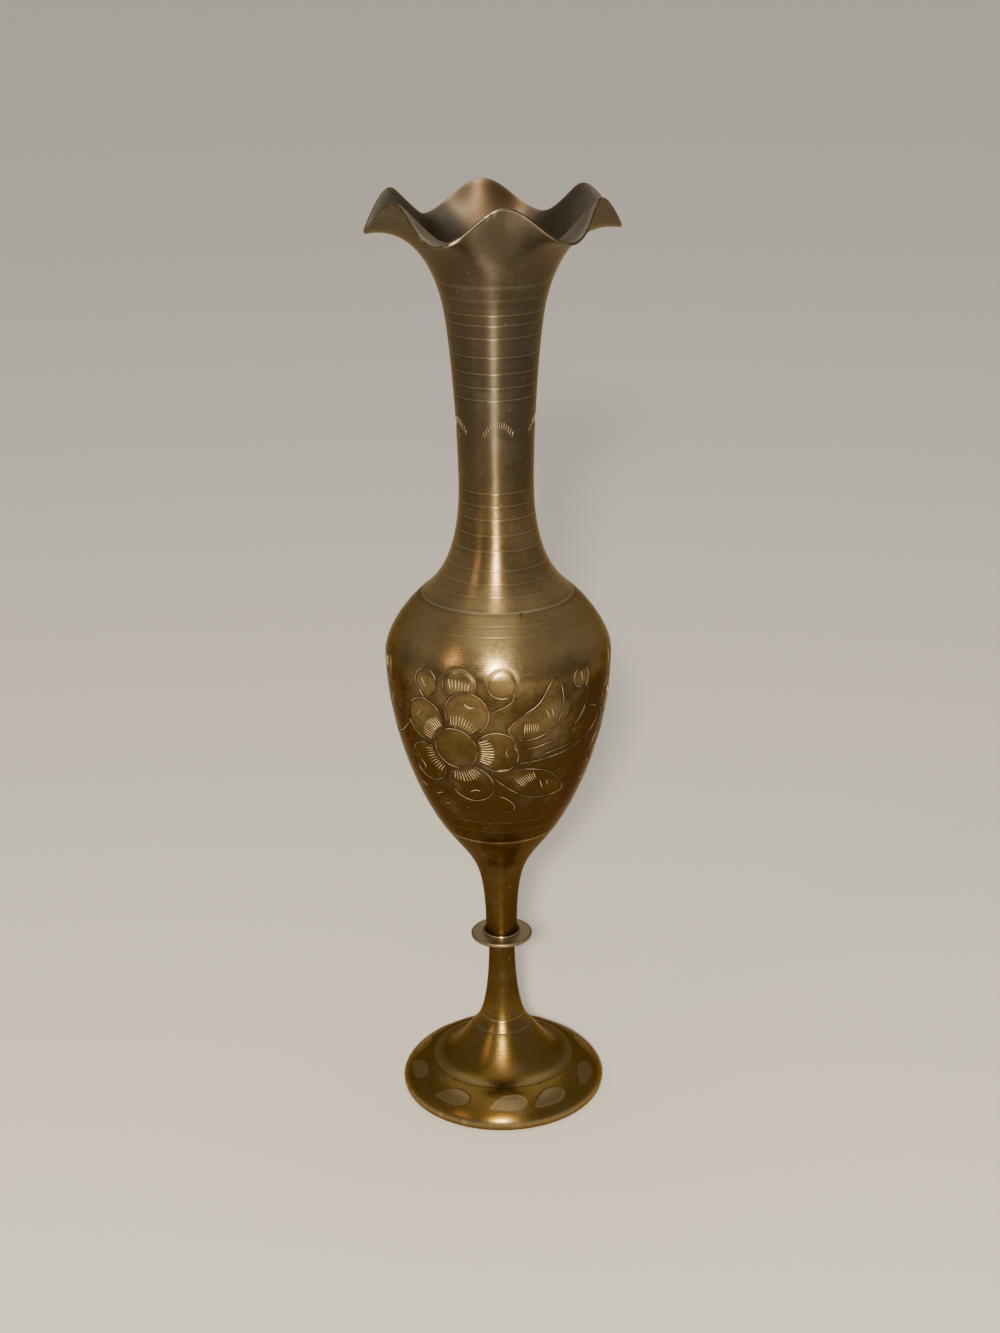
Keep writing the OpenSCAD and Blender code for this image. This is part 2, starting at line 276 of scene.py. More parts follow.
def bowl_profile(v):
    """Outside of the bowl, from the stem to the seam."""
    low = np.array([v.stem_top_r, v.bowl_z])
    belly = np.array([v.belly_r, v.bowl_z + v.belly_h])
    seam = np.array([v.seam_r, v.seam_z])
    rise = v.seam_z - belly[1]
    return Profile(
        [low, low + v.belly_h * 0.19 * heading(v.stem_slope), belly - [0, v.belly_h * 0.45], belly],
        [belly, belly + [0, rise * 0.34],
         seam - 6.9 * MM * heading(math.pi - v.shoulder_slope), seam])


def neck_profile(v):
    """Outside of the neck, from the seam to the start of the flare."""
    seam = np.array([v.seam_r, v.seam_z])
    waist = np.array([v.waist_r, v.seam_z + v.waist_h])
    flare = np.array([v.flare_r, waist[1] + v.flare_h])
    return Profile(
        [seam, seam + 6.9 * MM * heading(math.pi - v.shoulder_slope),
         waist - [0, v.waist_h * 0.65], waist],
        [waist, waist + [0, v.flare_h * 0.36], flare - 8 * MM * heading(FLARE_SLOPE), flare])


FLARE_SLOPE = math.radians(76.8)
RIM_SLOPE = math.radians(14.3)


def lip_curve(v):
    """Mean outline of the flared lip, from the start of the flare to the mean rim."""
    flare = np.array([v.flare_r, v.seam_z + v.waist_h + v.flare_h])
    rim = np.array([v.lip_r, flare[1] + v.lip_h])
    return [flare, flare + 4.7 * MM * heading(FLARE_SLOPE),
            rim - 16.1 * MM * heading(RIM_SLOPE), rim]


def lip_surface(v, t, theta):
    """Outside of the lip at t (0 at the flare, 1 at the rim) and azimuth theta.

    The mean outline, moved up by the rise and inwards by the pull of a cosine wave round
    the axis, whose size grows as a power of t.
    """
    mean = cubic(lip_curve(v), t)
    wave = t ** v.wave_growth * np.cos(v.waves * (theta - v.wave_turn))
    r = mean[..., 0] - v.wave_pull * wave
    z = mean[..., 1] + v.wave_rise * wave
    return np.stack([r * np.cos(theta), r * np.sin(theta), z], -1)


def lip_normal(v, t, theta, step=1e-4):
    """Outward normal of the lip: the cross product of small steps round it and along it."""
    t, theta = np.broadcast_arrays(t, theta)
    along = lip_surface(v, t + step, theta) - lip_surface(v, np.maximum(t - step, 0), theta)
    across = lip_surface(v, t, theta + step) - lip_surface(v, t, theta - step)
    normal = np.cross(across, along)
    return normal / np.linalg.norm(normal, axis=-1, keepdims=True)


# --------------------------------------------------------------------------- meshes

def azimuths(count):
    """count equal steps round the axis."""
    return np.arange(count) * (2 * math.pi / count)


def turned(r, z, theta):
    """Rings of points: each radius and height carried round the axis."""
    r, z = np.broadcast_arrays(np.asarray(r, float), np.asarray(z, float))
    if r.ndim == 1:
        r, z = r[:, None], z[:, None]
    z = np.broadcast_to(z, (len(z), len(theta)))
    return np.stack([r * np.cos(theta), r * np.sin(theta), z], -1)


def put_mesh(name, verts, faces, attributes, crease=40.0):
    """A smooth mesh object from whole arrays. faces is a list of (n, k) index arrays."""
    mesh = bpy.data.meshes.new(name)
    mesh.vertices.add(len(verts))
    mesh.vertices.foreach_set("co", np.ascontiguousarray(verts, np.float32).ravel())
    index = np.concatenate([f.ravel() for f in faces]).astype(np.int32)
    sizes = np.concatenate([np.full(len(f), f.shape[1]) for f in faces])
    starts = np.concatenate([[0], np.cumsum(sizes)[:-1]]).astype(np.int32)
    mesh.loops.add(len(index))
    mesh.loops.foreach_set("vertex_index", index)
    mesh.polygons.add(len(sizes))
    mesh.polygons.foreach_set("loop_start", starts)
    mesh.polygons.foreach_set("use_smooth", np.ones(len(sizes), bool))
    mesh.update(calc_edges=True)
    for key, values in attributes.items():
        layer = mesh.attributes.new(key, "FLOAT", "POINT")
        layer.data.foreach_set("value", np.ascontiguousarray(values, np.float32).ravel())
    mesh.validate()
    mesh.set_sharp_from_angle(angle=math.radians(crease))
    piece = bpy.data.objects.new(name, mesh)
    bpy.context.scene.collection.objects.link(piece)
    return piece


def ring_faces(rows, count, closed):
    """Quads between neighbouring rings, each ring closed round the axis."""
    i = np.arange(rows if closed else rows - 1)[:, None]
    j = np.arange(count)[None, :]
    nxt, turn = (i + 1) % rows, (j + 1) % count
    quads = [i * count + j, i * count + turn, nxt * count + turn, nxt * count + j]
    return np.stack(np.broadcast_arrays(*quads), -1).reshape(-1, 4)


def shell(name, rings, marks):
    """A closed wall: rings climb the outside, turn over the rim and come down the inside."""
    rows, count = rings.shape[:2]
    faces = [ring_faces(rows, count, closed=True)]
    spread = {k: np.broadcast_to(m, (rows, count)) for k, m in marks.items()}
    return put_mesh(name, rings.reshape(-1, 3), faces, spread)


def solid(name, rings, marks):
    """A closed solid: the first and last rings shrink to a point on the axis."""
    rows, count = rings.shape[:2]
    inner = rings[1:-1]
    size = (rows - 2) * count
    verts = np.concatenate([inner.reshape(-1, 3), rings[0].mean(0)[None], rings[-1].mean(0)[None]])
    j = np.arange(count)
    turn = (j + 1) % count
    last = (rows - 3) * count
    first_cap = np.stack([np.full(count, size), turn, j], -1)
    last_cap = np.stack([last + j, last + turn, np.full(count, size + 1)], -1)
    faces = [ring_faces(rows - 2, count, closed=False), first_cap, last_cap]
    spread = {}
    for key, values in marks.items():
        full = np.broadcast_to(values, (rows, count))
        spread[key] = np.concatenate([full[1:-1].ravel(), full[0, :1], full[-1, :1]])
    return put_mesh(name, verts, faces, spread)


def stations(total, step, *zones):
    """Lengths from 0 to total at a coarse step, with finer steps inside each (from, to, step)."""
    coarse = np.linspace(0, total, int(math.ceil(total / step)) + 1)
    keep = np.ones(len(coarse), bool)
    fine = []
    for low, high, gap in zones:
        low, high = max(low, 0.0), min(high, total)
        keep &= (coarse <= low) | (coarse >= high)
        fine.append(np.linspace(low, high, int(math.ceil((high - low) / gap)) + 1))
    merged = np.unique(np.concatenate([coarse[keep], [0.0, total], *fine]))
    gaps = np.diff(merged) > 0.03 * MM
    return merged[np.concatenate([[True], gaps])]


def hump(x, width):
    """A smooth hump: 1 where x is 0, and under 0.02 from two widths away."""
    return np.exp(-(x / width) ** 2)


def ramp(x, start, span):
    """0 up to start, 1 from start + span on, and straight between."""
    return np.clip((x - start) / span, 0, 1)


def swing(theta, middle):
    """Signed angle from middle round to theta, from -pi to pi."""
    return (theta - middle + math.pi) % (2 * math.pi) - math.pi


def line_zones(centres, width):
    """Fine zones across turned lines."""
    return [(c - width, c + width, width / 3) for c in centres]


def line_gaps(s, centres, width):
    """Signed distance from each length to each turned line, in half widths."""
    return (np.asarray(s)[:, None] - np.asarray(centres)[None, :]) / (width / 2)


def line_cut(s, centres, width, depth):
    """Depth of turned lines: a rounded groove at each centre, with a slight burr beside it."""
    q = line_gaps(s, centres, width)
    return (depth * (hump(q, 1) - 0.25 * hump(q, 2.2))).sum(1)


def line_wear(s, centres, width):
    """How bare the metal is across turned lines, from 0 to 1."""
    return hump(line_gaps(s, centres, width), 1).max(1)


def ripple(x, seed, octaves=4):
    """Repeatable wandering curve between about -1 and 1: sines of growing pitch."""
    rng = np.random.default_rng(seed)
    total = np.zeros_like(np.asarray(x, float))
    for k in range(octaves):
        total += np.sin(x * 1.9 ** k + rng.uniform(0, 2 * math.pi)) / 1.5 ** k
    return total / 2.2


def give_material(piece, material):
    """Gives the piece this material and no other."""
    piece.data.materials.clear()
    piece.data.materials.append(material)


def finish_piece(piece, slot_name, material, *nodes):
    """Rides the piece on the vase, gives it its finish, and hides the CAD nodes it stands for."""
    give_material(piece, material)
    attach(piece, "root")
    if nodes:
        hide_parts(*nodes)
    return piece


class Rings:
    """Rings of a turned piece, gathered in order, with the marks that its paint reads.

    turn is the length along the profile in millimetres, and wear, dirt, inside and tone
    run from 0 to 1, with tone also below 0 where the metal stays dark. The wear mark also
    carries painted highlights, the dirt mark also carries painted shade, and tone in places
    carries painted sheen, glow and reflection.
    """

    MARKS = ("turn", "wear", "dirt", "inside", "tone")

    def __init__(self, count):
        self.theta = azimuths(count)
        self.blocks = []
        self.marks = {key: [] for key in self.MARKS}

    def block(self, points, **marks):
        """Adds rings given as (rows, count, 3) points."""
        shape = points.shape[:2]
        self.blocks.append(points)
        for key in self.MARKS:
            values = np.asarray(marks.get(key, 0.0), float)
            if values.ndim == 1:
                values = values[:, None]
            self.marks[key].append(np.broadcast_to(values, shape))

    def ring(self, r, z, **marks):
        """Adds rings given by their radii and heights."""
        self.block(turned(r, z, self.theta), **marks)

    def gathered(self):
        """All rings as one array, and all marks."""
        return np.concatenate(self.blocks), {k: np.concatenate(m) for k, m in self.marks.items()}


# --------------------------------------------------------------------------- drawing strokes

def bend(points, step=0.5):
    """A smooth stroke through given points, in millimetres: Catmull-Rom, even steps."""
    p = np.asarray(points, float)
    if len(p) == 2:
        dense = p[0] + (p[1] - p[0]) * np.linspace(0, 1, 24)[:, None]
    else:
        shut = np.allclose(p[0], p[-1])
        before = p[-2] if shut else 2 * p[0] - p[1]
        after = p[1] if shut else 2 * p[-1] - p[-2]
        q = np.concatenate([before[None], p, after[None]])
        t = np.linspace(0, 1, 16, endpoint=False)[None, :, None]
        a, b, c, d = (q[k:len(q) - 3 + k, None, :] for k in range(4))
        dense = 0.5 * (2 * b + (c - a) * t + (2 * a - 5 * b + 4 * c - d) * t ** 2
                       + (3 * b - a - 3 * c + d) * t ** 3)
        dense = np.concatenate([dense.reshape(-1, 2), p[-1:]])
    return even(dense, step)


def even(points, step=0.5):
    """The same stroke at even steps."""
    s = np.concatenate([[0.0], np.cumsum(np.hypot(*np.diff(points, axis=0).T))])
    count = max(4, int(round(s[-1] / step)) + 1)
    u = np.linspace(0, s[-1], count)
    return np.stack([np.interp(u, s, points[:, k]) for k in (0, 1)], 1)


def arc(centre, radius, start, end, step=0.5):
    """Part of a circle, angles in degrees."""
    a = np.radians(np.linspace(start, end, 90))
    circle = np.stack([np.cos(a), np.sin(a)], 1) * radius
    return even(circle + np.asarray(centre, float), step)


def fan(inner, outer, middle, half, count):
    """Straight rays out of the disc, spread by half on either side of a middle direction."""
    rays = []
    for share in np.linspace(-1, 1, count):
        ray = heading(math.radians(middle + half * share))
        rays.append(even(np.outer([inner, outer - 0.9 * share ** 2], ray)))
    return rays


def hatch(first, last, count):
    """Straight strokes that pass evenly from a first one to a last one."""
    first, last = np.asarray(first, float), np.asarray(last, float)
    return [even(first + (last - first) * k / (count - 1)) for k in range(count)]


PETALS = 5
PETAL_TURN = 70.0
PETAL_OUT = 13.8
PETAL_R = 7.2
DISC_R = 7.2
BUD = ((-9.6, 21.8), 4.2)
HALF_FLOWER = ((3, 22.6), 4.6)
BERRY = ((16.3, 23.2), 4.6)
FAR_BUD = ((44.4, 22), 3.4)
LEAF_UP = [(19.8, 4.6), (17.8, 7.2), (19.5, 10), (23.5, 13), (28.5, 16.6), (34, 24.5),
           (36.6, 18), (36, 12), (33, 7), (28, 4.4), (23.4, 3.6), (19.8, 4.6)]
LEAF_DOWN = [(10.9, -8.6), (16.4, -7), (25.3, -8), (30.8, -11), (34.2, -18.2), (31, -20),
             (25.2, -20), (19.8, -18.4), (14.6, -14), (10.9, -8.6)]


def petal_angles():
    """Direction of each petal from the middle of the flower, in degrees."""
    return [PETAL_TURN + k * 360 / PETALS for k in range(PETALS)]


def petal_centres():
    """Centre of each petal."""
    return [PETAL_OUT * heading(math.radians(a)) for a in petal_angles()]


def flower_outlines():
    """Chased outlines of one flower with its leaves, buds and stems, from the disc's centre."""
    lines = [arc((0, 0), DISC_R, 0, 360)]
    *round_petals, open_petal = zip(petal_angles(), petal_centres())
    for angle, centre in round_petals:
        lines.append(arc(centre, PETAL_R, angle - 150, angle + 150))
    angle, centre = open_petal
    lines += [arc(centre, PETAL_R, angle + 34, angle + 150),
              arc(centre, PETAL_R, angle - 150, angle - 46),
              bend([(19.8, 3.6), (19.4, 1.2), (20.2, -1.6), (19.2, -5.6)])]
    lines += [
        bend(LEAF_UP),
        bend(LEAF_DOWN),
        arc(*BUD, 100, 235),
        arc(*BUD, -50, 70),
        bend([(-12.2, 18.6), (-10.6, 16.4), (-8.6, 15.2)]),
        bend([(-2.9, 21), (-2.4, 24.6), (0.6, 27.4), (4.6, 27.2), (7.6, 24.6), (8, 20.8)]),
        arc(*BERRY, 0, 360),
        bend([(20.2, 20.6), (19.4, 17.6), (16.6, 15.6), (12.2, 13.6)]),
        bend([(19.6, 0.6), (25, 0.4), (30, 1.5), (37, 3.5), (42, 6.5), (45.5, 10.5), (46.6, 15)]),
        bend([(46, 25.3), (42.6, 24.6), (41, 22), (42, 19.2), (45, 18.2)]),
        bend([(46.2, 25.2), (47.6, 21.6), (46.4, 17.6)]),
        bend([(19.6, -5), (30, -4.2), (40, -2.5), (48, 0), (56, 5), (60.4, 4.4)]),
        bend([(29, -2.4), (36, -1.4), (41, -0.6)]),
        bend([(56, 5), (52, 9), (47.5, 10.5)]),
        bend([(11.8, -18), (14.3, -19.5), (16.1, -22), (16, -24), (14.2, -25.5), (12.8, -24.8)]),
    ]
    return lines


def flower_cuts():
    """Bright engraver's cuts in one flower with its leaves and buds."""
    cuts = []
    for angle in petal_angles():
        out = heading(math.radians(angle))
        side = np.array([-out[1], out[0]])
        cuts += fan(8.6, 12.7, angle, 23, 10)
        cuts.append(bend([17 * out - 1.7 * side, 16.4 * out, 17 * out + 1.7 * side]))
    cuts += hatch([(22.6, 6), (23.2, 9.6)], [(27.6, 6.4), (27.0, 9.4)], 7)
    cuts += hatch([(18.1, -11), (20.4, -14.4)], [(24.2, -8.6), (25.0, -11.6)], 9)
    cuts += hatch([(0, 20.8), (-0.8, 24.2)], [(5.4, 20.8), (6.2, 24)], 7)
    cuts += [
        bend([(30.2, 13.8), (31.5, 10.7)]),
        bend([(32.2, 13.8), (32.8, 10.7)]),
        bend([(26.1, -12.8), (26.6, -16.2)]),
        bend([(28.3, -12.8), (28.6, -15)]),
        bend([(-10.5, -21), (-9, -20), (-7.5, -19.5)]),
        bend([(-7.4, -24.5), (-5.6, -23.5)]),
        bend([(43.4, -18.4), (46.4, -19.2)]),
        bend([(-11, 22.6), (-9.4, 20.2)]),
        bend([(44, 23.4), (44.6, 20.6)]),
    ]
    return cuts


def neck_fan():
    """Fourteen short rays set in a low arch, upright in its middle and leaning out at its ends."""
    strokes = [bend([(1.0, -5.4), (0.8, -4.2)])]
    for x in np.linspace(-4.5, 4.5, 14):
        middle = np.array([x, -3.1 * (x / 4.5) ** 2])
        lean = math.radians(18) * x / 4.5
        half = 1.1 * np.array([math.sin(lean), math.cos(lean)])
        strokes.append(even(np.stack([middle - half, middle + half])))
    return strokes


def inside_outline(x, y, outline):
    """1 for points inside a closed outline, by counting the edges to their right."""
    odd = np.zeros(x.shape, bool)
    for (ax, ay), (bx, by) in zip(outline[:-1], outline[1:]):
        if ay == by:
            continue
        crosses = (ay > y) != (by > y)
        odd ^= crosses & (x < ax + (y - ay) * (bx - ax) / (by - ay))
    return odd


def nearest(x, y, strokes, reach):
    """Distance from each point to the nearest stroke, as far as reach."""
    best = np.full(x.shape, float(reach))
    for stroke in strokes:
        low, high = stroke.min(0) - reach, stroke.max(0) + reach
        near = np.nonzero((x > low[0]) & (x < high[0]) & (y > low[1]) & (y < high[1]))
        px, py = x[near][:, None], y[near][:, None]
        a, d = stroke[:-1], np.diff(stroke, axis=0)
        share = ((px - a[:, 0]) * d[:, 0] + (py - a[:, 1]) * d[:, 1]) / (d ** 2).sum(1)
        share = np.clip(share, 0, 1)
        gap = np.hypot(px - a[:, 0] - share * d[:, 0], py - a[:, 1] - share * d[:, 1])
        best[near] = np.minimum(best[near], gap.min(1))
    return best


def strips(name, strokes, wrap, half_width, top, valley, taper, wear, waver=0.3):
    """Engraver's lines as slim closed solids laid in the metal.

    Each stroke is a path in millimetres; its section is a five-sided outline: two edges at
    the height top, a middle lower or higher by valley, and two hidden corners underneath.
    wrap(x, y, out) lays a point onto the metal. The ends narrow over the length taper, and
    waver says how much the shine comes and goes along a stroke.
    """
    depth = 0.3
    across = np.array([-1.0, 0.0, 1.0, 1.0, -1.0])
    height = np.array([top, top + valley, top, top - depth, top - depth])
    verts, quads, caps, shine = [], [], [], []
    base = 0
    for index, stroke in enumerate(strokes):
        along = np.gradient(stroke, axis=0)
        along /= np.linalg.norm(along, axis=1, keepdims=True)
        side = np.stack([-along[:, 1], along[:, 0]], 1)
        s = np.concatenate([[0.0], np.cumsum(np.hypot(*np.diff(stroke, axis=0).T))])
        ends = np.minimum(s, s[-1] - s)
        width = half_width * (0.25 + 0.75 * np.clip(ends / taper, 0, 1) ** 0.7)
        width *= 1 + 0.15 * ripple(s * 0.9 + index, index)
        flat = stroke[:, None, :] + side[:, None, :] * (across * width[:, None])[..., None]
        lift = np.broadcast_to(height, flat.shape[:2])
        points = wrap(flat[..., 0], flat[..., 1], lift)
        count = len(stroke)
        i, k = np.meshgrid(np.arange(count - 1), np.arange(5), indexing="ij")
        near, far = base + i * 5, base + (i + 1) * 5
        k2 = (k + 1) % 5
        quads.append(np.stack([near + k, near + k2, far + k2, far + k], -1).reshape(-1, 4))
        ring = np.arange(5)
        caps.append(np.stack([base + ring[::-1], base + (count - 1) * 5 + ring]))
        verts.append(points.reshape(-1, 3))
        glow = wear * (1 + waver * ripple(s * 0.35 + 2 * index, index + 7))
        shine.append(np.broadcast_to(np.clip(glow, 0, 1)[:, None], (count, 5)).ravel())
        base += count * 5
    faces = [np.concatenate(quads)[:, ::-1], np.concatenate(caps)[:, ::-1]]
    marks = {key: np.zeros(base) for key in Rings.MARKS}
    marks["wear"] = np.concatenate(shine)
    return put_mesh(name, np.concatenate(verts), faces, marks, crease=30.0)


def wrapped(profile, s_middle, azimuth):
    """Lays flat drawings onto a turned profile: x round it and y up it, both in true size."""
    def wrap(x, y, out):
        s = s_middle + y * MM
        r, z = profile.at(s, out * MM)
        theta = azimuth + x * MM / profile.at(s)[0]
        return np.stack([r * np.cos(theta), r * np.sin(theta), z], -1)
    return wrap


def joined(name, parts):
    """Several mesh pieces made one, keeping their marks."""
    with bpy.context.temp_override(active_object=parts[0], selected_editable_objects=parts):
        bpy.ops.object.join()
    parts[0].name = name
    return parts[0]


# --------------------------------------------------------------------------- paint

STREAKS_UP = 3.2
STREAKS_ROUND = 55.0


class Paint:
    """A node material, built from short words. Every pattern reads Object coordinates."""

    def __init__(self, name):
        self.material = bpy.data.materials.new(name)
        self.material.use_nodes = True
        self.tree = self.material.node_tree
        self.tree.nodes.clear()
        self.shader = self.node("ShaderNodeBsdfPrincipled")
        output = self.node("ShaderNodeOutputMaterial")
        self.tree.links.new(self.shader.outputs[0], output.inputs[0])
        self.place = self.node("ShaderNodeTexCoord").outputs["Object"]

    def node(self, kind, **values):
        """A new node with some of its settings."""
        made = self.tree.nodes.new(kind)
        for key, value in values.items():
            setattr(made, key, value)
        return made

    def feed(self, socket, value):
        """A link if value is a socket, else a constant."""
        if isinstance(value, bpy.types.NodeSocket):
            self.tree.links.new(value, socket)
        else:
            socket.default_value = value

    def put(self, key, value):
        """Feeds one of the shader's own inputs."""
        self.feed(self.shader.inputs[key], value)

    def bump(self, strength, distance, height):
        """Bump from a pattern, with a distance in metres."""
        made = self.node("ShaderNodeBump")
        made.inputs["Strength"].default_value = strength
        made.inputs["Distance"].default_value = distance
        self.feed(made.inputs["Height"], height)
        self.put("Normal", made.outputs[0])

    def math(self, operation, a, b=0.0, clamp=False):
        """One step of arithmetic on values or sockets."""
        made = self.node("ShaderNodeMath", operation=operation, use_clamp=clamp)
        self.feed(made.inputs[0], a)
        self.feed(made.inputs[1], b)
        return made.outputs[0]

    def total(self, *terms):
        """Sum of (value, weight) pairs."""
        result = 0.0
        for value, weight in terms:
            result = self.math("ADD", result, self.math("MULTIPLY", value, weight))
        return result

    def mix(self, share, a, b):
        """Colour a where share is 0 and b where it is 1."""
        made = self.node("ShaderNodeMix", data_type="RGBA", clamp_factor=True)
        self.feed(made.inputs[0], share)
        for socket, value in ((made.inputs[6], a), (made.inputs[7], b)):
            self.feed(socket, value if isinstance(value, bpy.types.NodeSocket) else (*value, 1.0))
        return made.outputs[2]

    def step(self, value, low, high):
        """0 below low and 1 above high, eased between."""
        made = self.node("ShaderNodeMapRange", interpolation_type="SMOOTHSTEP", clamp=True)
        self.feed(made.inputs[0], value)
        made.inputs[1].default_value = low
        made.inputs[2].default_value = high
        return made.outputs[0]

    def noise(self, size, detail=3.0, roughness=0.55, shift=0.0, vector=None):
        """Noise with features of about a size in metres, centred near 0.5."""
        place = self.place if vector is None else vector
        if shift:
            mapping = self.node("ShaderNodeMapping")
            self.feed(mapping.inputs[0], place)
            mapping.inputs[1].default_value = (shift, shift * 0.7, shift * 1.3)
            place = mapping.outputs[0]
        made = self.node("ShaderNodeTexNoise", noise_dimensions="3D")
        self.feed(made.inputs["Vector"], place)
        made.inputs["Scale"].default_value = 1.0 / size
        made.inputs["Detail"].default_value = detail
        made.inputs["Roughness"].default_value = roughness
        return made.outputs[0]

    def mark(self, name):
        """A mark that the mesh carries at each point."""
        return self.node("ShaderNodeAttribute", attribute_name=name).outputs["Fac"]

    def lathe_streaks(self):
        """Fine rings round the axis: noise stretched round, read along the profile's length."""
        split = self.node("ShaderNodeSeparateXYZ")
        self.feed(split.inputs[0], self.place)
        ring_place = self.node("ShaderNodeCombineXYZ")
        rates = ((self.mark("turn"), STREAKS_UP), (split.outputs[0], STREAKS_ROUND),
                 (split.outputs[1], STREAKS_ROUND))
        for socket, (value, rate) in zip(ring_place.inputs, rates):
            self.feed(socket, self.math("MULTIPLY", value, rate))
        return self.noise(1.0, 3.0, 0.6, vector=ring_place.outputs[0])


# Heights where foot gives way to stem, stem to bowl and bowl to neck; the warm stem and foot and the
# darker lower bowl are partly a painted reflection of a warm floor.
STEM_STARTS = (0.035, 0.085)
BOWL_STARTS = (0.130, 0.180)
NECK_STARTS = (0.200, 0.260)


def aged_brass(name, bias, grain=0.6, spread=1.2, rough_more=0.0, grey_share=0.0, glow=0.8):
    """Old brass: patina in clouds, warm at the foot and dull on the neck, with dirt and wear.
    The warm foot and stem and the darker lower bowl are partly a painted reflection of a warm
    floor, the dirt mark also carries painted shade, and the wear mark also carries painted
    highlights.

    bias is the share of the lighter patina, grain is how far the lathe's marks stretch a
    highlight up and down, and glow is how bright the metal gets where it is seen at a slant.
    """
    finish = settings()[1]
    paint = Paint(name)
    clouds = paint.noise(0.034, 3.0, 0.55)
    patches = paint.noise(0.011, 4.0, 0.6, shift=3.1)
    mottle = paint.noise(0.0022, 3.0, 0.6, shift=7.7)
    specks = paint.noise(0.0011, 2.0, 0.5, shift=1.9)
    streaks = paint.lathe_streaks()
    wear, dirt, inside, tone = (paint.mark(k) for k in ("wear", "dirt", "inside", "tone"))

    share = paint.total((clouds, spread), (patches, spread * 0.8), (mottle, 0.35),
                        (streaks, 0.3), (tone, 1.0))
    share = paint.math("ADD", share, bias - spread * 0.9 - 0.325, clamp=True)
    split = paint.node("ShaderNodeSeparateXYZ")
    paint.feed(split.inputs[0], paint.place)
    height = paint.math("ADD", split.outputs[2], paint.math("MULTIPLY", clouds, 0.03))
    low = paint.step(height, *BOWL_STARTS)
    high = paint.step(height, *NECK_STARTS)
    # Painted reflection in part: the honey foot and amber stem colours stand also for a warm floor
    # seen in the metal.
    foot = paint.mix(share, tuple(c * 0.5 for c in finish.honey), finish.honey)
    stem = paint.mix(share, tuple(c * 0.6 for c in finish.amber), finish.amber)
    middle = paint.mix(share, finish.umber, finish.gold)
    neck = paint.mix(share, finish.olive, finish.straw)
    metal = paint.mix(paint.step(height, *STEM_STARTS), foot, stem)
    metal = paint.mix(high, paint.mix(low, metal, middle), neck)
    film = paint.total((inside, 0.85), (paint.step(patches, 0.5, 0.75), 0.25))
    film = paint.math("ADD", film, grey_share, clamp=True)
    # Grey film, turning copper where tone rises inside the lip: copper bloom with a painted warm
    # glow.
    bloom_and_glow = paint.mix(paint.math("MULTIPLY", tone, inside), finish.grey, finish.copper)
    metal = paint.mix(film, metal, bloom_and_glow)
    spots = paint.math("MULTIPLY", paint.step(specks, 0.62, 0.74), paint.step(patches, 0.4, 0.6))
    # Specks of dirt, and the dirt mark, which also carries painted shade.
    soil_and_shade = paint.total((spots, 0.3), (dirt, 0.75))
    metal = paint.mix(soil_and_shade, metal, finish.grime_and_shade)
    pale_specks = paint.step(paint.noise(0.0009, 2.0, 0.5, shift=11.3), 0.70, 0.78)
    # Bare metal where worn, and painted highlights carried in the wear mark.
    bare_and_highlight = paint.total((wear, 1.0), (pale_specks, 0.22))
    metal = paint.mix(bare_and_highlight, metal, finish.rubbed)
    paint.put("Base Color", metal)
    paint.put("Metallic", 1.0)

    rough = paint.total((patches, 0.22), (specks, 0.14), (streaks, 0.12), (inside, 0.22),
                        (dirt, 0.2), (wear, -0.10), (high, 0.05))
    rough = paint.math("ADD", rough, finish.rough + rough_more - 0.24, clamp=True)
    paint.put("Roughness", rough)
    tint = tuple(c * glow for c in finish.edge)
    paint.put("Specular Tint", (*tint, 1.0))
    paint.put("Coat Weight", finish.coat)
    paint.put("Coat Roughness", finish.coat_rough)

    around = paint.node("ShaderNodeCombineXYZ")
    paint.feed(around.inputs[0], paint.math("MULTIPLY", split.outputs[1], -1.0))
    paint.feed(around.inputs[1], split.outputs[0])
    paint.put("Tangent", around.outputs[0])
    paint.put("Anisotropic", grain)
    paint.put("Anisotropic Rotation", 0.25)

    relief = paint.total((mottle, 0.4), (patches, 0.7), (streaks, 0.8), (specks, 0.2))
    paint.bump(0.35, 0.1 * MM, relief)
    return paint.material


def fresh_cut(name):
    """Bare brass scratched open by a graver: pale, slightly rough, duller in places. Where the wear
    mark is low it turns dark umber, which in the chased outlines is painted shade in the groove, and
    the pale glints left along them are painted highlights.
    """
    finish = settings()[1]
    paint = Paint(name)
    patches = paint.noise(0.006, 3.0, 0.6, shift=5.3)
    dull_and_shade = paint.math("MULTIPLY", paint.math("SUBTRACT", 1.0, paint.mark("wear")), 0.95)
    veil = paint.math("ADD", dull_and_shade, paint.math("MULTIPLY", paint.step(patches, 0.5, 0.7), 0.3),
                      clamp=True)
    metal = paint.mix(veil, finish.rubbed, finish.umber)
    paint.put("Base Color", metal)
    paint.put("Metallic", 1.0)
    rough = paint.math("ADD", paint.math("MULTIPLY", patches, 0.3), 0.42)
    paint.put("Roughness", rough)
    paint.bump(0.3, 0.05 * MM, paint.noise(0.0006, 2.0, 0.5))
    return paint.material


def old_solder(name):
    """Dull grey solder with darker pits."""
    finish = settings()[1]
    paint = Paint(name)
    clouds = paint.noise(0.003, 4.0, 0.6)
    metal = paint.mix(paint.step(clouds, 0.35, 0.7), finish.solder, finish.grime_and_shade)
    paint.put("Base Color", metal)
    paint.put("Metallic", 1.0)
    rough = paint.math("ADD", paint.math("MULTIPLY", clouds, 0.3), 0.35)
    paint.put("Roughness", rough)
    paint.bump(0.4, 0.1 * MM, clouds)
    return paint.material


# --------------------------------------------------------------------------- the pieces

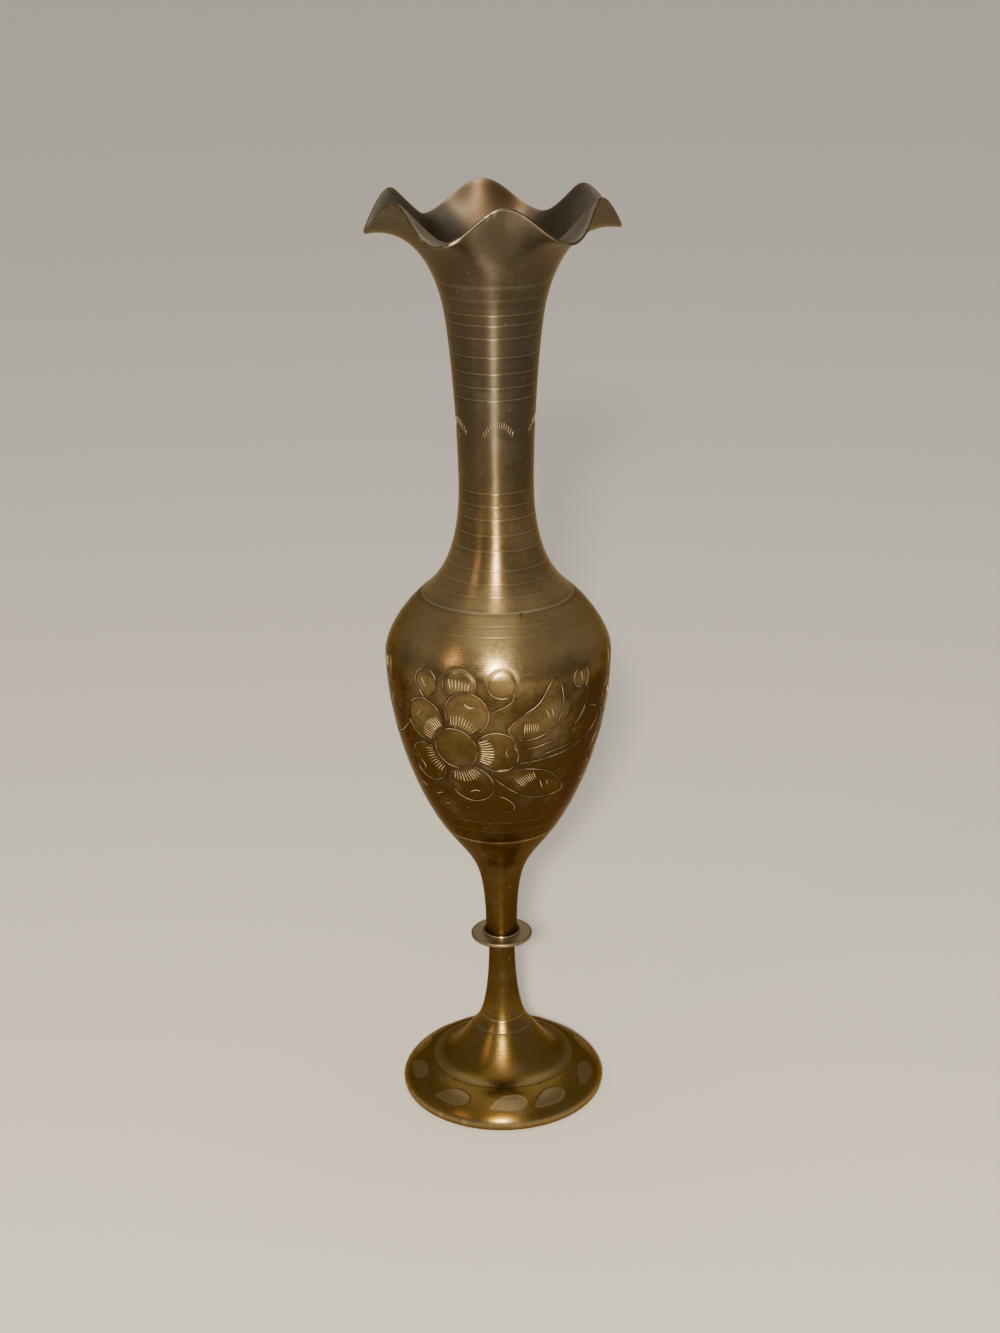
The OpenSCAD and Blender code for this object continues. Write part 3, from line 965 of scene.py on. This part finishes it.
FOOT_STEPS = 640
COLLAR_STEPS = 256
STEM_STEPS = 288
BOWL_STEPS = 504
NECK_STEPS = 320
FOOT_MARK_TURNS = (-78, -35, 3, 31, 69, 105, 142, 179, 214, 250)
FOOT_MARK_S = 10.0 * MM
FOOT_MARK_L = 12.8 * MM
FOOT_MARK_W = 6.0 * MM
FOOT_MARK_DEPTH = 0.15 * MM
EDGE_WEAR_L = 0.3 * MM
JOINT_DIRT_S = 0.9 * MM
JOINT_DIRT_L = 0.6 * MM


def foot_marks(profile, s, theta):
    """How far each point lies inside one of the foot's flat drop-shaped cuts, from 0 to 1.

    A drop: its half width grows as t^0.75 and closes as (1 - t)^0.5, with t from its tail.
    """
    tilt = math.radians(4)
    y = (s - FOOT_MARK_S)[:, None]
    deepest = np.zeros((len(s), len(theta)))
    for turn in FOOT_MARK_TURNS:
        x = swing(theta, FRONT + math.radians(turn))[None, :] * profile.at(FOOT_MARK_S)[0]
        u = x * math.cos(tilt) + y * math.sin(tilt)
        w = y * math.cos(tilt) - x * math.sin(tilt)
        w = w + 1.6 * MM * (np.minimum(u, 0) / (FOOT_MARK_L / 2)) ** 2
        t = np.clip(u / FOOT_MARK_L + 0.5, 0, 1)
        fullest = 0.6 ** 0.75 * 0.4 ** 0.5
        half = FOOT_MARK_W / 2 * t ** 0.75 * (1 - t) ** 0.5 / fullest
        deepest = np.maximum(deepest, np.clip((half - np.abs(w)) / (0.45 * MM) + 0.3, 0, 1))
    return deepest


def make_foot():
    """Foot: a domed disc that sweeps up into a slim stem, hollow underneath."""
    v = settings()[0]
    profile = foot_profile(v)
    crest = profile.at_height(v.foot_crest_h)
    lines = [crest, profile.at_height(v.foot_root_h), profile.at_height(v.foot_root_h + 3.6 * MM)]
    s = stations(profile.length, 1.3 * MM, (0, 2.6 * MM, 0.25 * MM),
                 (6 * MM, 14.5 * MM, 0.36 * MM), *line_zones(lines, v.line_w))
    rings = Rings(FOOT_STEPS)
    theta = rings.theta
    hole_z = v.foot_h - v.stud_hole_l
    inner_s = np.linspace(profile.joints[0] + 0.6 * MM, profile.joints[2], 20)
    inner_r, inner_z = profile.at(inner_s, -v.foot_wall)
    rings.ring([0, inner_r[-1] * 0.5], [inner_z[-1]] * 2, inside=0.6, dirt=0.3)
    rings.ring(inner_r[::-1], inner_z[::-1], turn=inner_s[::-1] / MM, inside=0.6, dirt=0.2)
    land = v.foot_r - v.foot_roll - v.foot_wall
    rings.ring([land, land + 0.3 * MM, v.foot_r - v.foot_roll - 0.2 * MM],
               [0.1 * MM, 0, 0], wear=0.35)
    marks = foot_marks(profile, s, theta)
    cuts = line_cut(s, lines, v.line_w, v.line_depth)
    groove = line_wear(s, lines, v.line_w)
    r, z = profile.at(s[:, None], -cuts[:, None] - FOOT_MARK_DEPTH * marks)
    rim = hump(s - profile.joints[0], 1.1 * MM)[:, None]
    rubbed = rim * (0.12 + 0.25 * np.clip(ripple(theta * 9, 4) * ripple(theta * 31, 5), 0, 1))
    wear = np.clip(marks * 0.09 + 0.10 * groove[:, None] + rubbed, 0, 1)
    edge = np.clip(1 - np.abs(marks - 0.5) * 2, 0, 1)
    # Partly polish and partly painted highlight: the root of the foot is made lighter and a little
    # worn where the light strikes it.
    root = hump(s - profile.joints[2], 9 * MM)[:, None]
    climb = ramp(s, profile.joints[2], 14 * MM)[:, None]
    # Painted reflection: a lighter band just beyond the crest, where the dome turns down.
    band = np.exp(-((s - crest - 1.4 * MM) / (1.2 * MM)) ** 4)[:, None]
    tone = 0.35 * (1 - climb) - 0.55 * climb + 0.1 * root + 0.2 * marks + 0.25 * band
    rings.ring(r, z, turn=s / MM, wear=wear + 0.07 * band + 0.03 * root, tone=tone, dirt=0.15 * edge)
    rings.ring([v.stud_hole_r, v.stud_hole_r, 0], [v.foot_h, hole_z, hole_z], inside=0.8)
    piece = solid("foot_shell", *rings.gathered())
    brass = aged_brass("foot_brass", 0.62, grain=0.45, rough_more=-0.10, glow=0.75)
    return finish_piece(piece, "foot_brass", brass, "foot")


def make_collar():
    """Collar: a flat washer with rounded edges between the foot and the upper stem."""
    v = settings()[0]
    low, high = corner("collar", 0, 2), corner("collar", 1, 2)
    turn = np.linspace(-math.pi / 2, 0, 7)
    core = v.collar_r - v.collar_round
    rings = Rings(COLLAR_STEPS)
    rings.ring([v.collar_hole_r, v.collar_hole_r + 1 * MM, core - 1 * MM], [low] * 3, inside=0.5)
    rings.ring(core + v.collar_round * np.cos(turn), low + v.collar_round * (1 + np.sin(turn)),
               wear=0.10, turn=np.linspace(3, 4, 7))
    rings.ring(core + v.collar_round * np.cos(turn[::-1]),
               high - v.collar_round * (1 + np.sin(turn[::-1])), wear=0.18,
               turn=np.linspace(4, 5, 7))
    across = np.linspace(core - 0.3 * MM, v.bead_r, 10)
    rings.ring(across, [high] * 10, turn=across / MM, wear=0.32, inside=0.05)
    rings.ring([v.collar_hole_r], [high], inside=0.5, dirt=0.5)
    piece = shell("collar_washer", *rings.gathered())
    brass = aged_brass("collar_brass", 1.2, grain=0.3, rough_more=0.02, grey_share=0.1)
    return finish_piece(piece, "collar_brass", brass, "collar")


def make_upper_stem():
    """Upper stem: a bead, a slim shaft that swells to the bowl, and the cup and lap inside."""
    v = settings()[0]
    profile = stem_profile(v)
    bowl = bowl_profile(v)
    low = v.stem_z
    rings = Rings(STEM_STEPS)
    hole_z = low + v.stud_hole_l
    rings.ring([0, v.stud_hole_r, v.stud_hole_r], [hole_z, hole_z, low], inside=0.8)
    bulge = np.linspace(-math.pi / 2, math.pi / 2, 9)
    core = v.bead_r - v.bead_h / 2
    rings.ring(core + v.bead_h / 2 * np.cos(bulge), low + v.bead_h / 2 * (1 + np.sin(bulge)),
               turn=np.linspace(0, 1, 9), wear=0.55 * np.exp(-bulge ** 2))
    start = profile.at_height(low + v.bead_h)
    s = stations(profile.length - start, 1.0 * MM, (0, 1.5 * MM, 0.3 * MM)) + start
    r, z = profile.at(s)
    high_share = ramp(s, start, profile.length - start)
    rings.ring(r, z, turn=s / MM, tone=-0.25 + 0.5 * high_share,
               dirt=0.6 * hump(s - start, 1.2 * MM),
               wear=0.25 * hump(s - profile.length, 0.5 * MM))
    lap_s = np.linspace(0, v.lap, 5)
    gap = v.wall + v.braze_gap
    cup_s = np.linspace(profile.length - 1 * MM, profile.length * 0.72, 10)
    cup_r, cup_z = profile.at(cup_s, -v.stem_wall)
    rings.ring(*bowl.at(lap_s, -gap), inside=1.0)
    rings.ring(*bowl.at(lap_s[::-1], -gap - v.stem_wall), inside=1.0)
    rings.ring(cup_r, cup_z, inside=1.0, dirt=0.3)
    rings.ring([0], [cup_z[-1]], inside=1.0, dirt=0.4)
    piece = solid("upper_stem_shaft", *rings.gathered())
    brass = aged_brass("stem_brass", 0.50, grain=0.75, rough_more=-0.04, glow=0.8)
    return finish_piece(piece, "stem_brass", brass, "upper_stem")


SEAM_PITS = ((0.5 * MM, 17.0), (1.9 * MM, 16.2))
SEAM_PIT_R = 0.5 * MM
FLOWERS = 3
FLOWER_TURN = math.radians(-23.8)
FLOWER_S = 41.6 * MM
CHASE_REACH = 6.0


def flower_azimuths():
    """Azimuth of the middle of each flower."""
    return [FRONT + FLOWER_TURN + k * 2 * math.pi / FLOWERS for k in range(FLOWERS)]


def flower_fields(profile, s, theta):
    """Distance in millimetres to the nearest chased line, and 1 inside petals and leaves."""
    outlines = flower_outlines()
    leaves = [bend(LEAF_UP, 2.0), bend(LEAF_DOWN, 2.0)]
    rounds = [((0, 0), DISC_R), *((tuple(c), PETAL_R) for c in petal_centres()),
              BUD, HALF_FLOWER, BERRY, FAR_BUD]
    radius = profile.at(s)[0][:, None]
    gap = np.full((len(s), len(theta)), CHASE_REACH)
    filled = np.zeros(gap.shape, bool)
    y = np.broadcast_to((s[:, None] - FLOWER_S) / MM, gap.shape)
    before = math.radians(60)
    for azimuth in flower_azimuths():
        turn = (theta[None, :] - azimuth + before) % (2 * math.pi) - before
        x = turn * radius / MM
        gap = np.minimum(gap, nearest(x, y, outlines, CHASE_REACH))
        for leaf in leaves:
            filled |= inside_outline(x, y, leaf)
        for (cx, cy), reach in rounds:
            filled |= (x - cx) ** 2 + (y - cy) ** 2 < reach ** 2
    return gap, filled.astype(float)


def seam_pits(below, theta, radius):
    """How near each point is to two small pits under the seam: 1 at their middles, 0 far off.

    They are painted as dirt and not cut into the metal.
    """
    nearness = 0.0
    for drop, turn in SEAM_PITS:
        along = swing(theta, FRONT + math.radians(turn))[None, :]
        gap = np.hypot(along * radius, below[:, None] - drop)
        nearness = np.maximum(nearness, hump(gap, SEAM_PIT_R))
    return nearness


def make_bowl():
    """Bowl: an egg-shaped body, chased with three flowers and turned with lines at its ends."""
    v = settings()[0]
    profile = bowl_profile(v)
    top = profile.length
    lines = [profile.at_height(v.bowl_z + rise) for rise in (5.3 * MM, 9.5 * MM)]
    lines += [profile.at_height(v.seam_z - drop) for drop in (3.2 * MM, 6.0 * MM)]
    s = stations(top, 0.85 * MM, (14 * MM, 70 * MM, 0.5 * MM),
                 (0, 0.8 * MM, 0.2 * MM), (top - 0.8 * MM, top, 0.2 * MM),
                 *line_zones(lines, v.line_w))
    rings = Rings(BOWL_STEPS)
    theta = rings.theta
    gap, filled = flower_fields(profile, s, theta)
    width = v.chase_w / MM
    chase = hump(gap, width)
    dip = hump(gap, 2.4 * width)
    puff = filled * ramp(gap, 0, 3) * 0.05 * MM
    cuts = line_cut(s, lines, v.line_w, v.line_depth * 0.6)[:, None]
    swell = 0.06 * MM * (ripple(theta[None, :] * 2 + s[:, None] * 60, 3) - 1)
    reach = ramp(np.minimum(s, top - s), 0, 8 * MM)[:, None]
    out = (puff + swell - v.skin) * reach - v.chase_depth * (chase + 0.15 * dip) - cuts
    r, z = profile.at(s[:, None], np.minimum(out, -v.skin * reach))
    turned_wear = line_wear(s, lines, v.line_w)[:, None]
    ends = 0.2 * hump(s, EDGE_WEAR_L) + 0.22 * hump(top - s, EDGE_WEAR_L)
    # Painted shade: a dark band along each chased outline, carried in the dirt mark.
    outline_shade = hump(gap - 0.3, 0.45)
    near_joint = hump(s - JOINT_DIRT_S, JOINT_DIRT_L) + hump(top - s - JOINT_DIRT_S, JOINT_DIRT_L)
    dirt = 0.6 * outline_shade + 0.35 * line_wear(s, lines, v.line_w * 2.6)[:, None] * (1 - turned_wear)
    dirt = dirt + 1.3 * seam_pits(top - s, theta, v.seam_r)
    band = ramp(s, 15 * MM, 6 * MM) * (1 - ramp(s, 66 * MM, 6 * MM))
    # Painted reflection in part: the lower bowl is darker, standing also for a warm floor seen in
    # the metal.
    low = 1 - ramp(s, 20 * MM, 26 * MM)[:, None]
    heel = hump(s, 9 * MM)[:, None]
    tone = 0.20 * filled - 0.30 * band[:, None] - 0.4 * low + 0.35 * heel
    # Painted sheen: the shoulder grows lighter and more golden towards the seam, with a touch of
    # wear.
    shoulder_sheen = ramp(s, 60 * MM, 14 * MM)[:, None]
    rings.ring(r, z, turn=s / MM, tone=tone + 0.45 * shoulder_sheen,
               wear=np.clip(0.05 * turned_wear + ends[:, None] + 0.02 * shoulder_sheen, 0, 1),
               dirt=np.clip(dirt + 0.5 * near_joint[:, None], 0, 1))
    inner_s = np.linspace(top, 0, 16)
    rings.ring(*profile.at(inner_s, -v.wall), turn=inner_s / MM, inside=1.0, dirt=0.25)
    piece = shell("bowl_shell", *rings.gathered())
    brass = aged_brass("bowl_brass", 0.40, grain=0.35, rough_more=-0.14, glow=0.75)
    return finish_piece(piece, "bowl_brass", brass, "bowl")


def make_bowl_engraving():
    """Engraved lines of the three flowers: chased outlines and bright straight cuts."""
    v = settings()[0]
    profile = bowl_profile(v)
    sunk = -(v.chase_depth * 1.15 + v.skin) / MM
    parts = []
    for index, azimuth in enumerate(flower_azimuths()):
        wrap = wrapped(profile, FLOWER_S, azimuth)
        # Painted shade and highlights: the outlines are mostly dark, for shade in the groove, with
        # pale glints that come and go along them.
        parts.append(strips(f"outlines_{index}", flower_outlines(), wrap, v.outline_w / MM,
                            sunk + 0.07, 0.05, 1.5, 0.22, waver=1.6))
        parts.append(strips(f"cuts_{index}", flower_cuts(), wrap, v.cut_w / MM,
                            -0.02, -0.04, 1.4, 0.75))
    piece = joined("bowl_engraving", parts)
    return finish_piece(piece, "bowl_brass", fresh_cut("bowl_cuts"))


NECK_LINES = (215.3, 211.2, 206.9, 202.0, 197.2, 191.6, 187.7, 184.3,
              271.2, 268.0, 264.0, 258.2, 253.1, 248.7, 244.8)
LIP_LINES = (275.8, 279.95)
LIP_LENGTH = 36 * MM
LIP_TIP = 0.012


def lip_stations():
    """Shares along the lip, closer towards the rim."""
    return np.linspace(0, 1, 46) ** 0.85


def make_neck_and_lip():
    """Neck and lip: a waisted tube with turned lines that opens into a ruffled trumpet."""
    v = settings()[0]
    profile = neck_profile(v)
    top = profile.length
    lines = [profile.at_height(height * MM) for height in NECK_LINES]
    s = stations(top, 1.5 * MM, (0, 0.8 * MM, 0.2 * MM), *line_zones(lines, v.line_w))
    rings = Rings(NECK_STEPS)
    theta = rings.theta
    bowl = bowl_profile(v)
    tongue = np.linspace(bowl.length - v.lap, bowl.length, 4)
    rings.ring(*bowl.at(tongue, -v.wall - v.braze_gap), inside=1.0)
    cuts = line_cut(s, lines, v.line_w, v.line_depth)
    groove = line_wear(s, lines, v.line_w)
    r, z = profile.at(s, -cuts)
    up = ramp(z, 235 * MM, 45 * MM)
    # Painted sheen: the foot of the neck is lighter and slightly worn, carrying on the painted sheen
    # of the bowl's shoulder.
    skirt_sheen = hump(s, 16 * MM)
    wear = 0.10 * groove + 0.12 * hump(s, EDGE_WEAR_L) + 0.03 * skirt_sheen + 0.01 * (1 - up)
    rings.ring(r, z, turn=s / MM, tone=-0.10 + 0.2 * up + 0.45 * skirt_sheen, wear=np.clip(wear, 0, 1),
               dirt=0.35 * line_wear(s, lines, v.line_w * 2.6) * (1 - groove)
               + 0.4 * hump(s - JOINT_DIRT_S, JOINT_DIRT_L))

    shares = lip_stations()[1:]
    shares[-1] = 1 - LIP_TIP
    along = shares * LIP_LENGTH
    t = shares[:, None]
    wide = theta[None, :]
    outer = lip_surface(v, t, wide)
    normal = lip_normal(v, t, wide)
    heights = cubic(lip_curve(v), shares)[:, 1] + 2 * v.line_depth
    lip_lines = np.interp([height * MM for height in LIP_LINES], heights, along)
    cut = line_cut(along, lip_lines, v.line_w * 1.6, v.line_depth)
    outer = outer - normal * cut[:, None, None]
    rim_wear = hump(1 - t, 0.035)
    chips = np.clip(ripple(wide * 23, 11) * 1.4 + ripple(wide * 61, 12) - 0.2, 0, 1)
    # Painted highlight: the chipped rim is brightest where it faces the front and the light, a
    # little to the left.
    front_highlight = hump(wide - math.radians(256), math.radians(13))
    rim = rim_wear * chips * (0.05 + 0.6 * front_highlight)
    lip_groove = line_wear(along, lip_lines, v.line_w * 1.6)[:, None]
    rings.block(outer, turn=(top + along) / MM,
                wear=np.clip(rim + 0.06 * lip_groove, 0, 1),
                inside=np.broadcast_to(0.45 * t ** 4, rim.shape), tone=-0.2)
    # The rim's edge carries the same painted highlight.
    bright = np.clip(0.03 + chips * (0.06 + 0.8 * front_highlight), 0, 1)
    near_tip = 1 - 0.3 * LIP_TIP
    for share, depth in ((near_tip, 0.12), (1.0, 0.35), (1.0, 0.65), (near_tip, 0.88)):
        edge = lip_surface(v, np.array([[share]]), wide)
        edge_normal = lip_normal(v, np.array([[share]]), wide)
        rings.block(edge - edge_normal * v.wall * depth, turn=140.0, wear=bright, tone=0.1)
    inner = lip_surface(v, t, wide) - normal * v.wall
    # The inner rim carries it too, over the rubbed wear.
    rubbed = hump(1 - t, 0.03) * (0.2 + 0.4 * chips * front_highlight)
    fade = 0.75 + 0.25 * (1 - t)
    # Painted glow: the inside of the back of the lip turns copper towards the rim, partly copper
    # bloom and partly warm light reflected there.
    back_glow = hump(wide - math.radians(88), math.radians(20)) * t
    rings.block(inner[::-1], turn=(180 - along / MM)[::-1], inside=(fade + 0 * wide)[::-1],
                wear=rubbed[::-1], tone=back_glow[::-1], dirt=(0.3 * (1 - t) + 0 * wide)[::-1])
    inner_s = np.linspace(top, 2 * MM, 26)
    rings.ring(*profile.at(inner_s, -v.wall), turn=200 + inner_s / MM, inside=1.0,
               dirt=np.linspace(0.1, 0.5, 26))
    rings.ring(*bowl.at(tongue[::-1], -2 * v.wall - v.braze_gap), inside=1.0, dirt=0.4)
    piece = shell("neck_and_lip_trumpet", *rings.gathered())
    brass = aged_brass("neck_brass", 0.45, grain=0.9, rough_more=-0.07, glow=1.3)
    return finish_piece(piece, "neck_brass", brass, "neck_and_lip")


NECK_FANS = 5
NECK_FAN_UP = 21.3 * MM
NECK_FAN_TURN = math.radians(4)


def make_neck_engraving():
    """Five small fans of bright rays round the neck."""
    v = settings()[0]
    profile = neck_profile(v)
    waist = profile.at_height(v.seam_z + v.waist_h)
    strokes = neck_fan()
    parts = []
    for k in range(NECK_FANS):
        azimuth = FRONT + NECK_FAN_TURN + k * 2 * math.pi / NECK_FANS
        wrap = wrapped(profile, waist + NECK_FAN_UP, azimuth)
        parts.append(strips(f"fan_{k}", strokes, wrap, v.cut_w / MM * 0.7, 0.02, -0.03, 0.7, 0.8))
    piece = joined("neck_engraving", parts)
    return finish_piece(piece, "neck_brass", fresh_cut("neck_cuts"))


def finish_stud():
    """Threaded stud: the CAD body in bright, slightly dirty brass."""
    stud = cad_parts["threaded_stud"]
    give_material(stud, aged_brass("stud_brass", 1.0, grain=0.3))


def finish_solder():
    """Both braze rings: the CAD bodies in dull solder."""
    material = old_solder("solder")
    for node in ("stem_braze_ring", "neck_braze_ring"):
        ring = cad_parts[node]
        give_material(ring, material)


# --------------------------------------------------------------------------- the stage

KEY_TINT = (1.0, 0.89, 0.72)
SIDE_TINT = (1.0, 0.66, 0.40)
FILL_TINT = (1.0, 0.92, 0.80)
OVERHEAD_TINT = (1.0, 0.97, 0.93)
SKY_TINT = (0.95, 0.90, 0.84, 1.0)
SENSOR_WIDTH = 36.0
FLOOR_ROUGH = 0.85
AIM = (0, 0, 0.15)


def make_stage():
    """Pale floor, soft light and the camera."""
    stage = settings()[2]
    scene = bpy.context.scene
    half = stage.floor_size / 2
    corners = [(-half, -half, 0), (half, -half, 0), (half, half, 0), (-half, half, 0)]
    mesh = bpy.data.meshes.new("floor")
    mesh.from_pydata(corners, [], [(0, 1, 2, 3)])
    floor = bpy.data.objects.new("floor", mesh)
    scene.collection.objects.link(floor)
    paint = Paint("floor_paint")
    paint.put("Base Color", (*stage.floor, 1.0))
    paint.put("Roughness", FLOOR_ROUGH)
    mesh.materials.append(paint.material)

    camera_data = bpy.data.cameras.new("camera")
    camera_data.lens = stage.lens
    camera_data.sensor_width = SENSOR_WIDTH
    camera_data.clip_start = 0.01
    camera_data.clip_end = 100.0
    camera = bpy.data.objects.new("camera", camera_data)
    camera.location = (stage.camera_side, -stage.camera_back, stage.camera_up)
    camera.rotation_mode = "XYZ"
    tilt = mathutils.Matrix.Rotation(math.pi / 2 - stage.camera_pitch, 4, "X")
    roll = mathutils.Matrix.Rotation(stage.camera_roll, 4, "Z")
    camera.rotation_euler = (tilt @ roll).to_euler()
    scene.collection.objects.link(camera)
    scene.camera = camera

    aim = mathutils.Vector(AIM)
    add_light("key", aim, azimuth=-3, elevation=24, distance=1.2, size=0.08,
              power=stage.key_power, tint=KEY_TINT)
    add_light("side", aim, azimuth=-50, elevation=27, distance=1.1, size=0.24,
              power=stage.side_power, tint=SIDE_TINT)
    overhead = bpy.data.lights.new("overhead", "SUN")
    overhead.energy = stage.sun
    overhead.angle = math.radians(55)
    overhead.color = OVERHEAD_TINT
    lamp = bpy.data.objects.new("overhead", overhead)
    lamp.rotation_euler = (math.radians(-18), 0, 0)
    scene.collection.objects.link(lamp)
    add_light("fill", aim, azimuth=-12, elevation=66, distance=2.4, size=2.0,
              power=stage.fill_power, tint=FILL_TINT)

    world = bpy.data.worlds.new("surroundings")
    world.use_nodes = True
    background = world.node_tree.nodes["Background"]
    background.inputs[0].default_value = SKY_TINT
    background.inputs[1].default_value = stage.sky
    scene.world = world


def add_light(name, aim, azimuth, elevation, distance, size, power, tint):
    """A round soft light, placed by its azimuth from the front and its elevation, in degrees."""
    light = bpy.data.lights.new(name, "AREA")
    light.shape = "DISK"
    light.size = size
    light.energy = power
    light.color = tint
    side, up = math.radians(azimuth), math.radians(elevation)
    way = mathutils.Vector((math.sin(side) * math.cos(up), -math.cos(side) * math.cos(up),
                            math.sin(up)))
    lamp = bpy.data.objects.new(name, light)
    lamp.location = aim + way * distance
    lamp.rotation_mode = "QUATERNION"
    lamp.rotation_quaternion = way.to_track_quat("Z", "Y")
    bpy.context.scene.collection.objects.link(lamp)


# --------------------------------------------------------------------------- the add-on

class VASE_OT_foot(bpy.types.Operator):
    """Build the domed foot"""
    bl_idname = "vase.foot"
    bl_label = "Foot"

    def execute(self, context):
        make_foot()
        return {"FINISHED"}


class VASE_OT_collar(bpy.types.Operator):
    """Build the collar"""
    bl_idname = "vase.collar"
    bl_label = "Collar"

    def execute(self, context):
        make_collar()
        return {"FINISHED"}


class VASE_OT_upper_stem(bpy.types.Operator):
    """Build the upper stem"""
    bl_idname = "vase.upper_stem"
    bl_label = "Upper stem"

    def execute(self, context):
        make_upper_stem()
        return {"FINISHED"}


class VASE_OT_bowl(bpy.types.Operator):
    """Build the bowl and its engraving"""
    bl_idname = "vase.bowl"
    bl_label = "Bowl"

    def execute(self, context):
        make_bowl()
        make_bowl_engraving()
        return {"FINISHED"}


class VASE_OT_neck(bpy.types.Operator):
    """Build the neck, the lip and their engraving"""
    bl_idname = "vase.neck"
    bl_label = "Neck and lip"

    def execute(self, context):
        make_neck_and_lip()
        make_neck_engraving()
        return {"FINISHED"}


class VASE_OT_fixings(bpy.types.Operator):
    """Finish the stud and the solder"""
    bl_idname = "vase.fixings"
    bl_label = "Stud and solder"

    def execute(self, context):
        finish_stud()
        finish_solder()
        return {"FINISHED"}


class VASE_OT_stage(bpy.types.Operator):
    """Set up the floor, the lights and the camera"""
    bl_idname = "vase.stage"
    bl_label = "Stage"

    def execute(self, context):
        make_stage()
        return {"FINISHED"}


OPERATORS = (VASE_OT_foot, VASE_OT_collar, VASE_OT_upper_stem, VASE_OT_bowl, VASE_OT_neck,
             VASE_OT_fixings, VASE_OT_stage)


class VASE_PT_panel(bpy.types.Panel):
    """Sidebar panel with a button for each piece"""
    bl_label = "Brass bud vase"
    bl_space_type = "VIEW_3D"
    bl_region_type = "UI"
    bl_category = "Bud vase"

    def draw(self, context):
        for operator in OPERATORS:
            self.layout.operator(operator.bl_idname)


GROUPS = {"vase_sizes": VaseSizes, "vase_finish": VaseFinish, "vase_stage": StageSettings}
CLASSES = (*GROUPS.values(), *OPERATORS, VASE_PT_panel)


def register():
    for cls in CLASSES:
        bpy.utils.register_class(cls)
    for name, group in GROUPS.items():
        setattr(bpy.types.Scene, name, PointerProperty(type=group))


def unregister():
    for name in GROUPS:
        delattr(bpy.types.Scene, name)
    for cls in reversed(CLASSES):
        bpy.utils.unregister_class(cls)


def main():
    """Registers the add-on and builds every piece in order."""
    register()
    bpy.ops.vase.foot()
    bpy.ops.vase.collar()
    bpy.ops.vase.upper_stem()
    bpy.ops.vase.bowl()
    bpy.ops.vase.neck()
    bpy.ops.vase.fixings()
    bpy.ops.vase.stage()


if __name__ == "__main__":
    main()
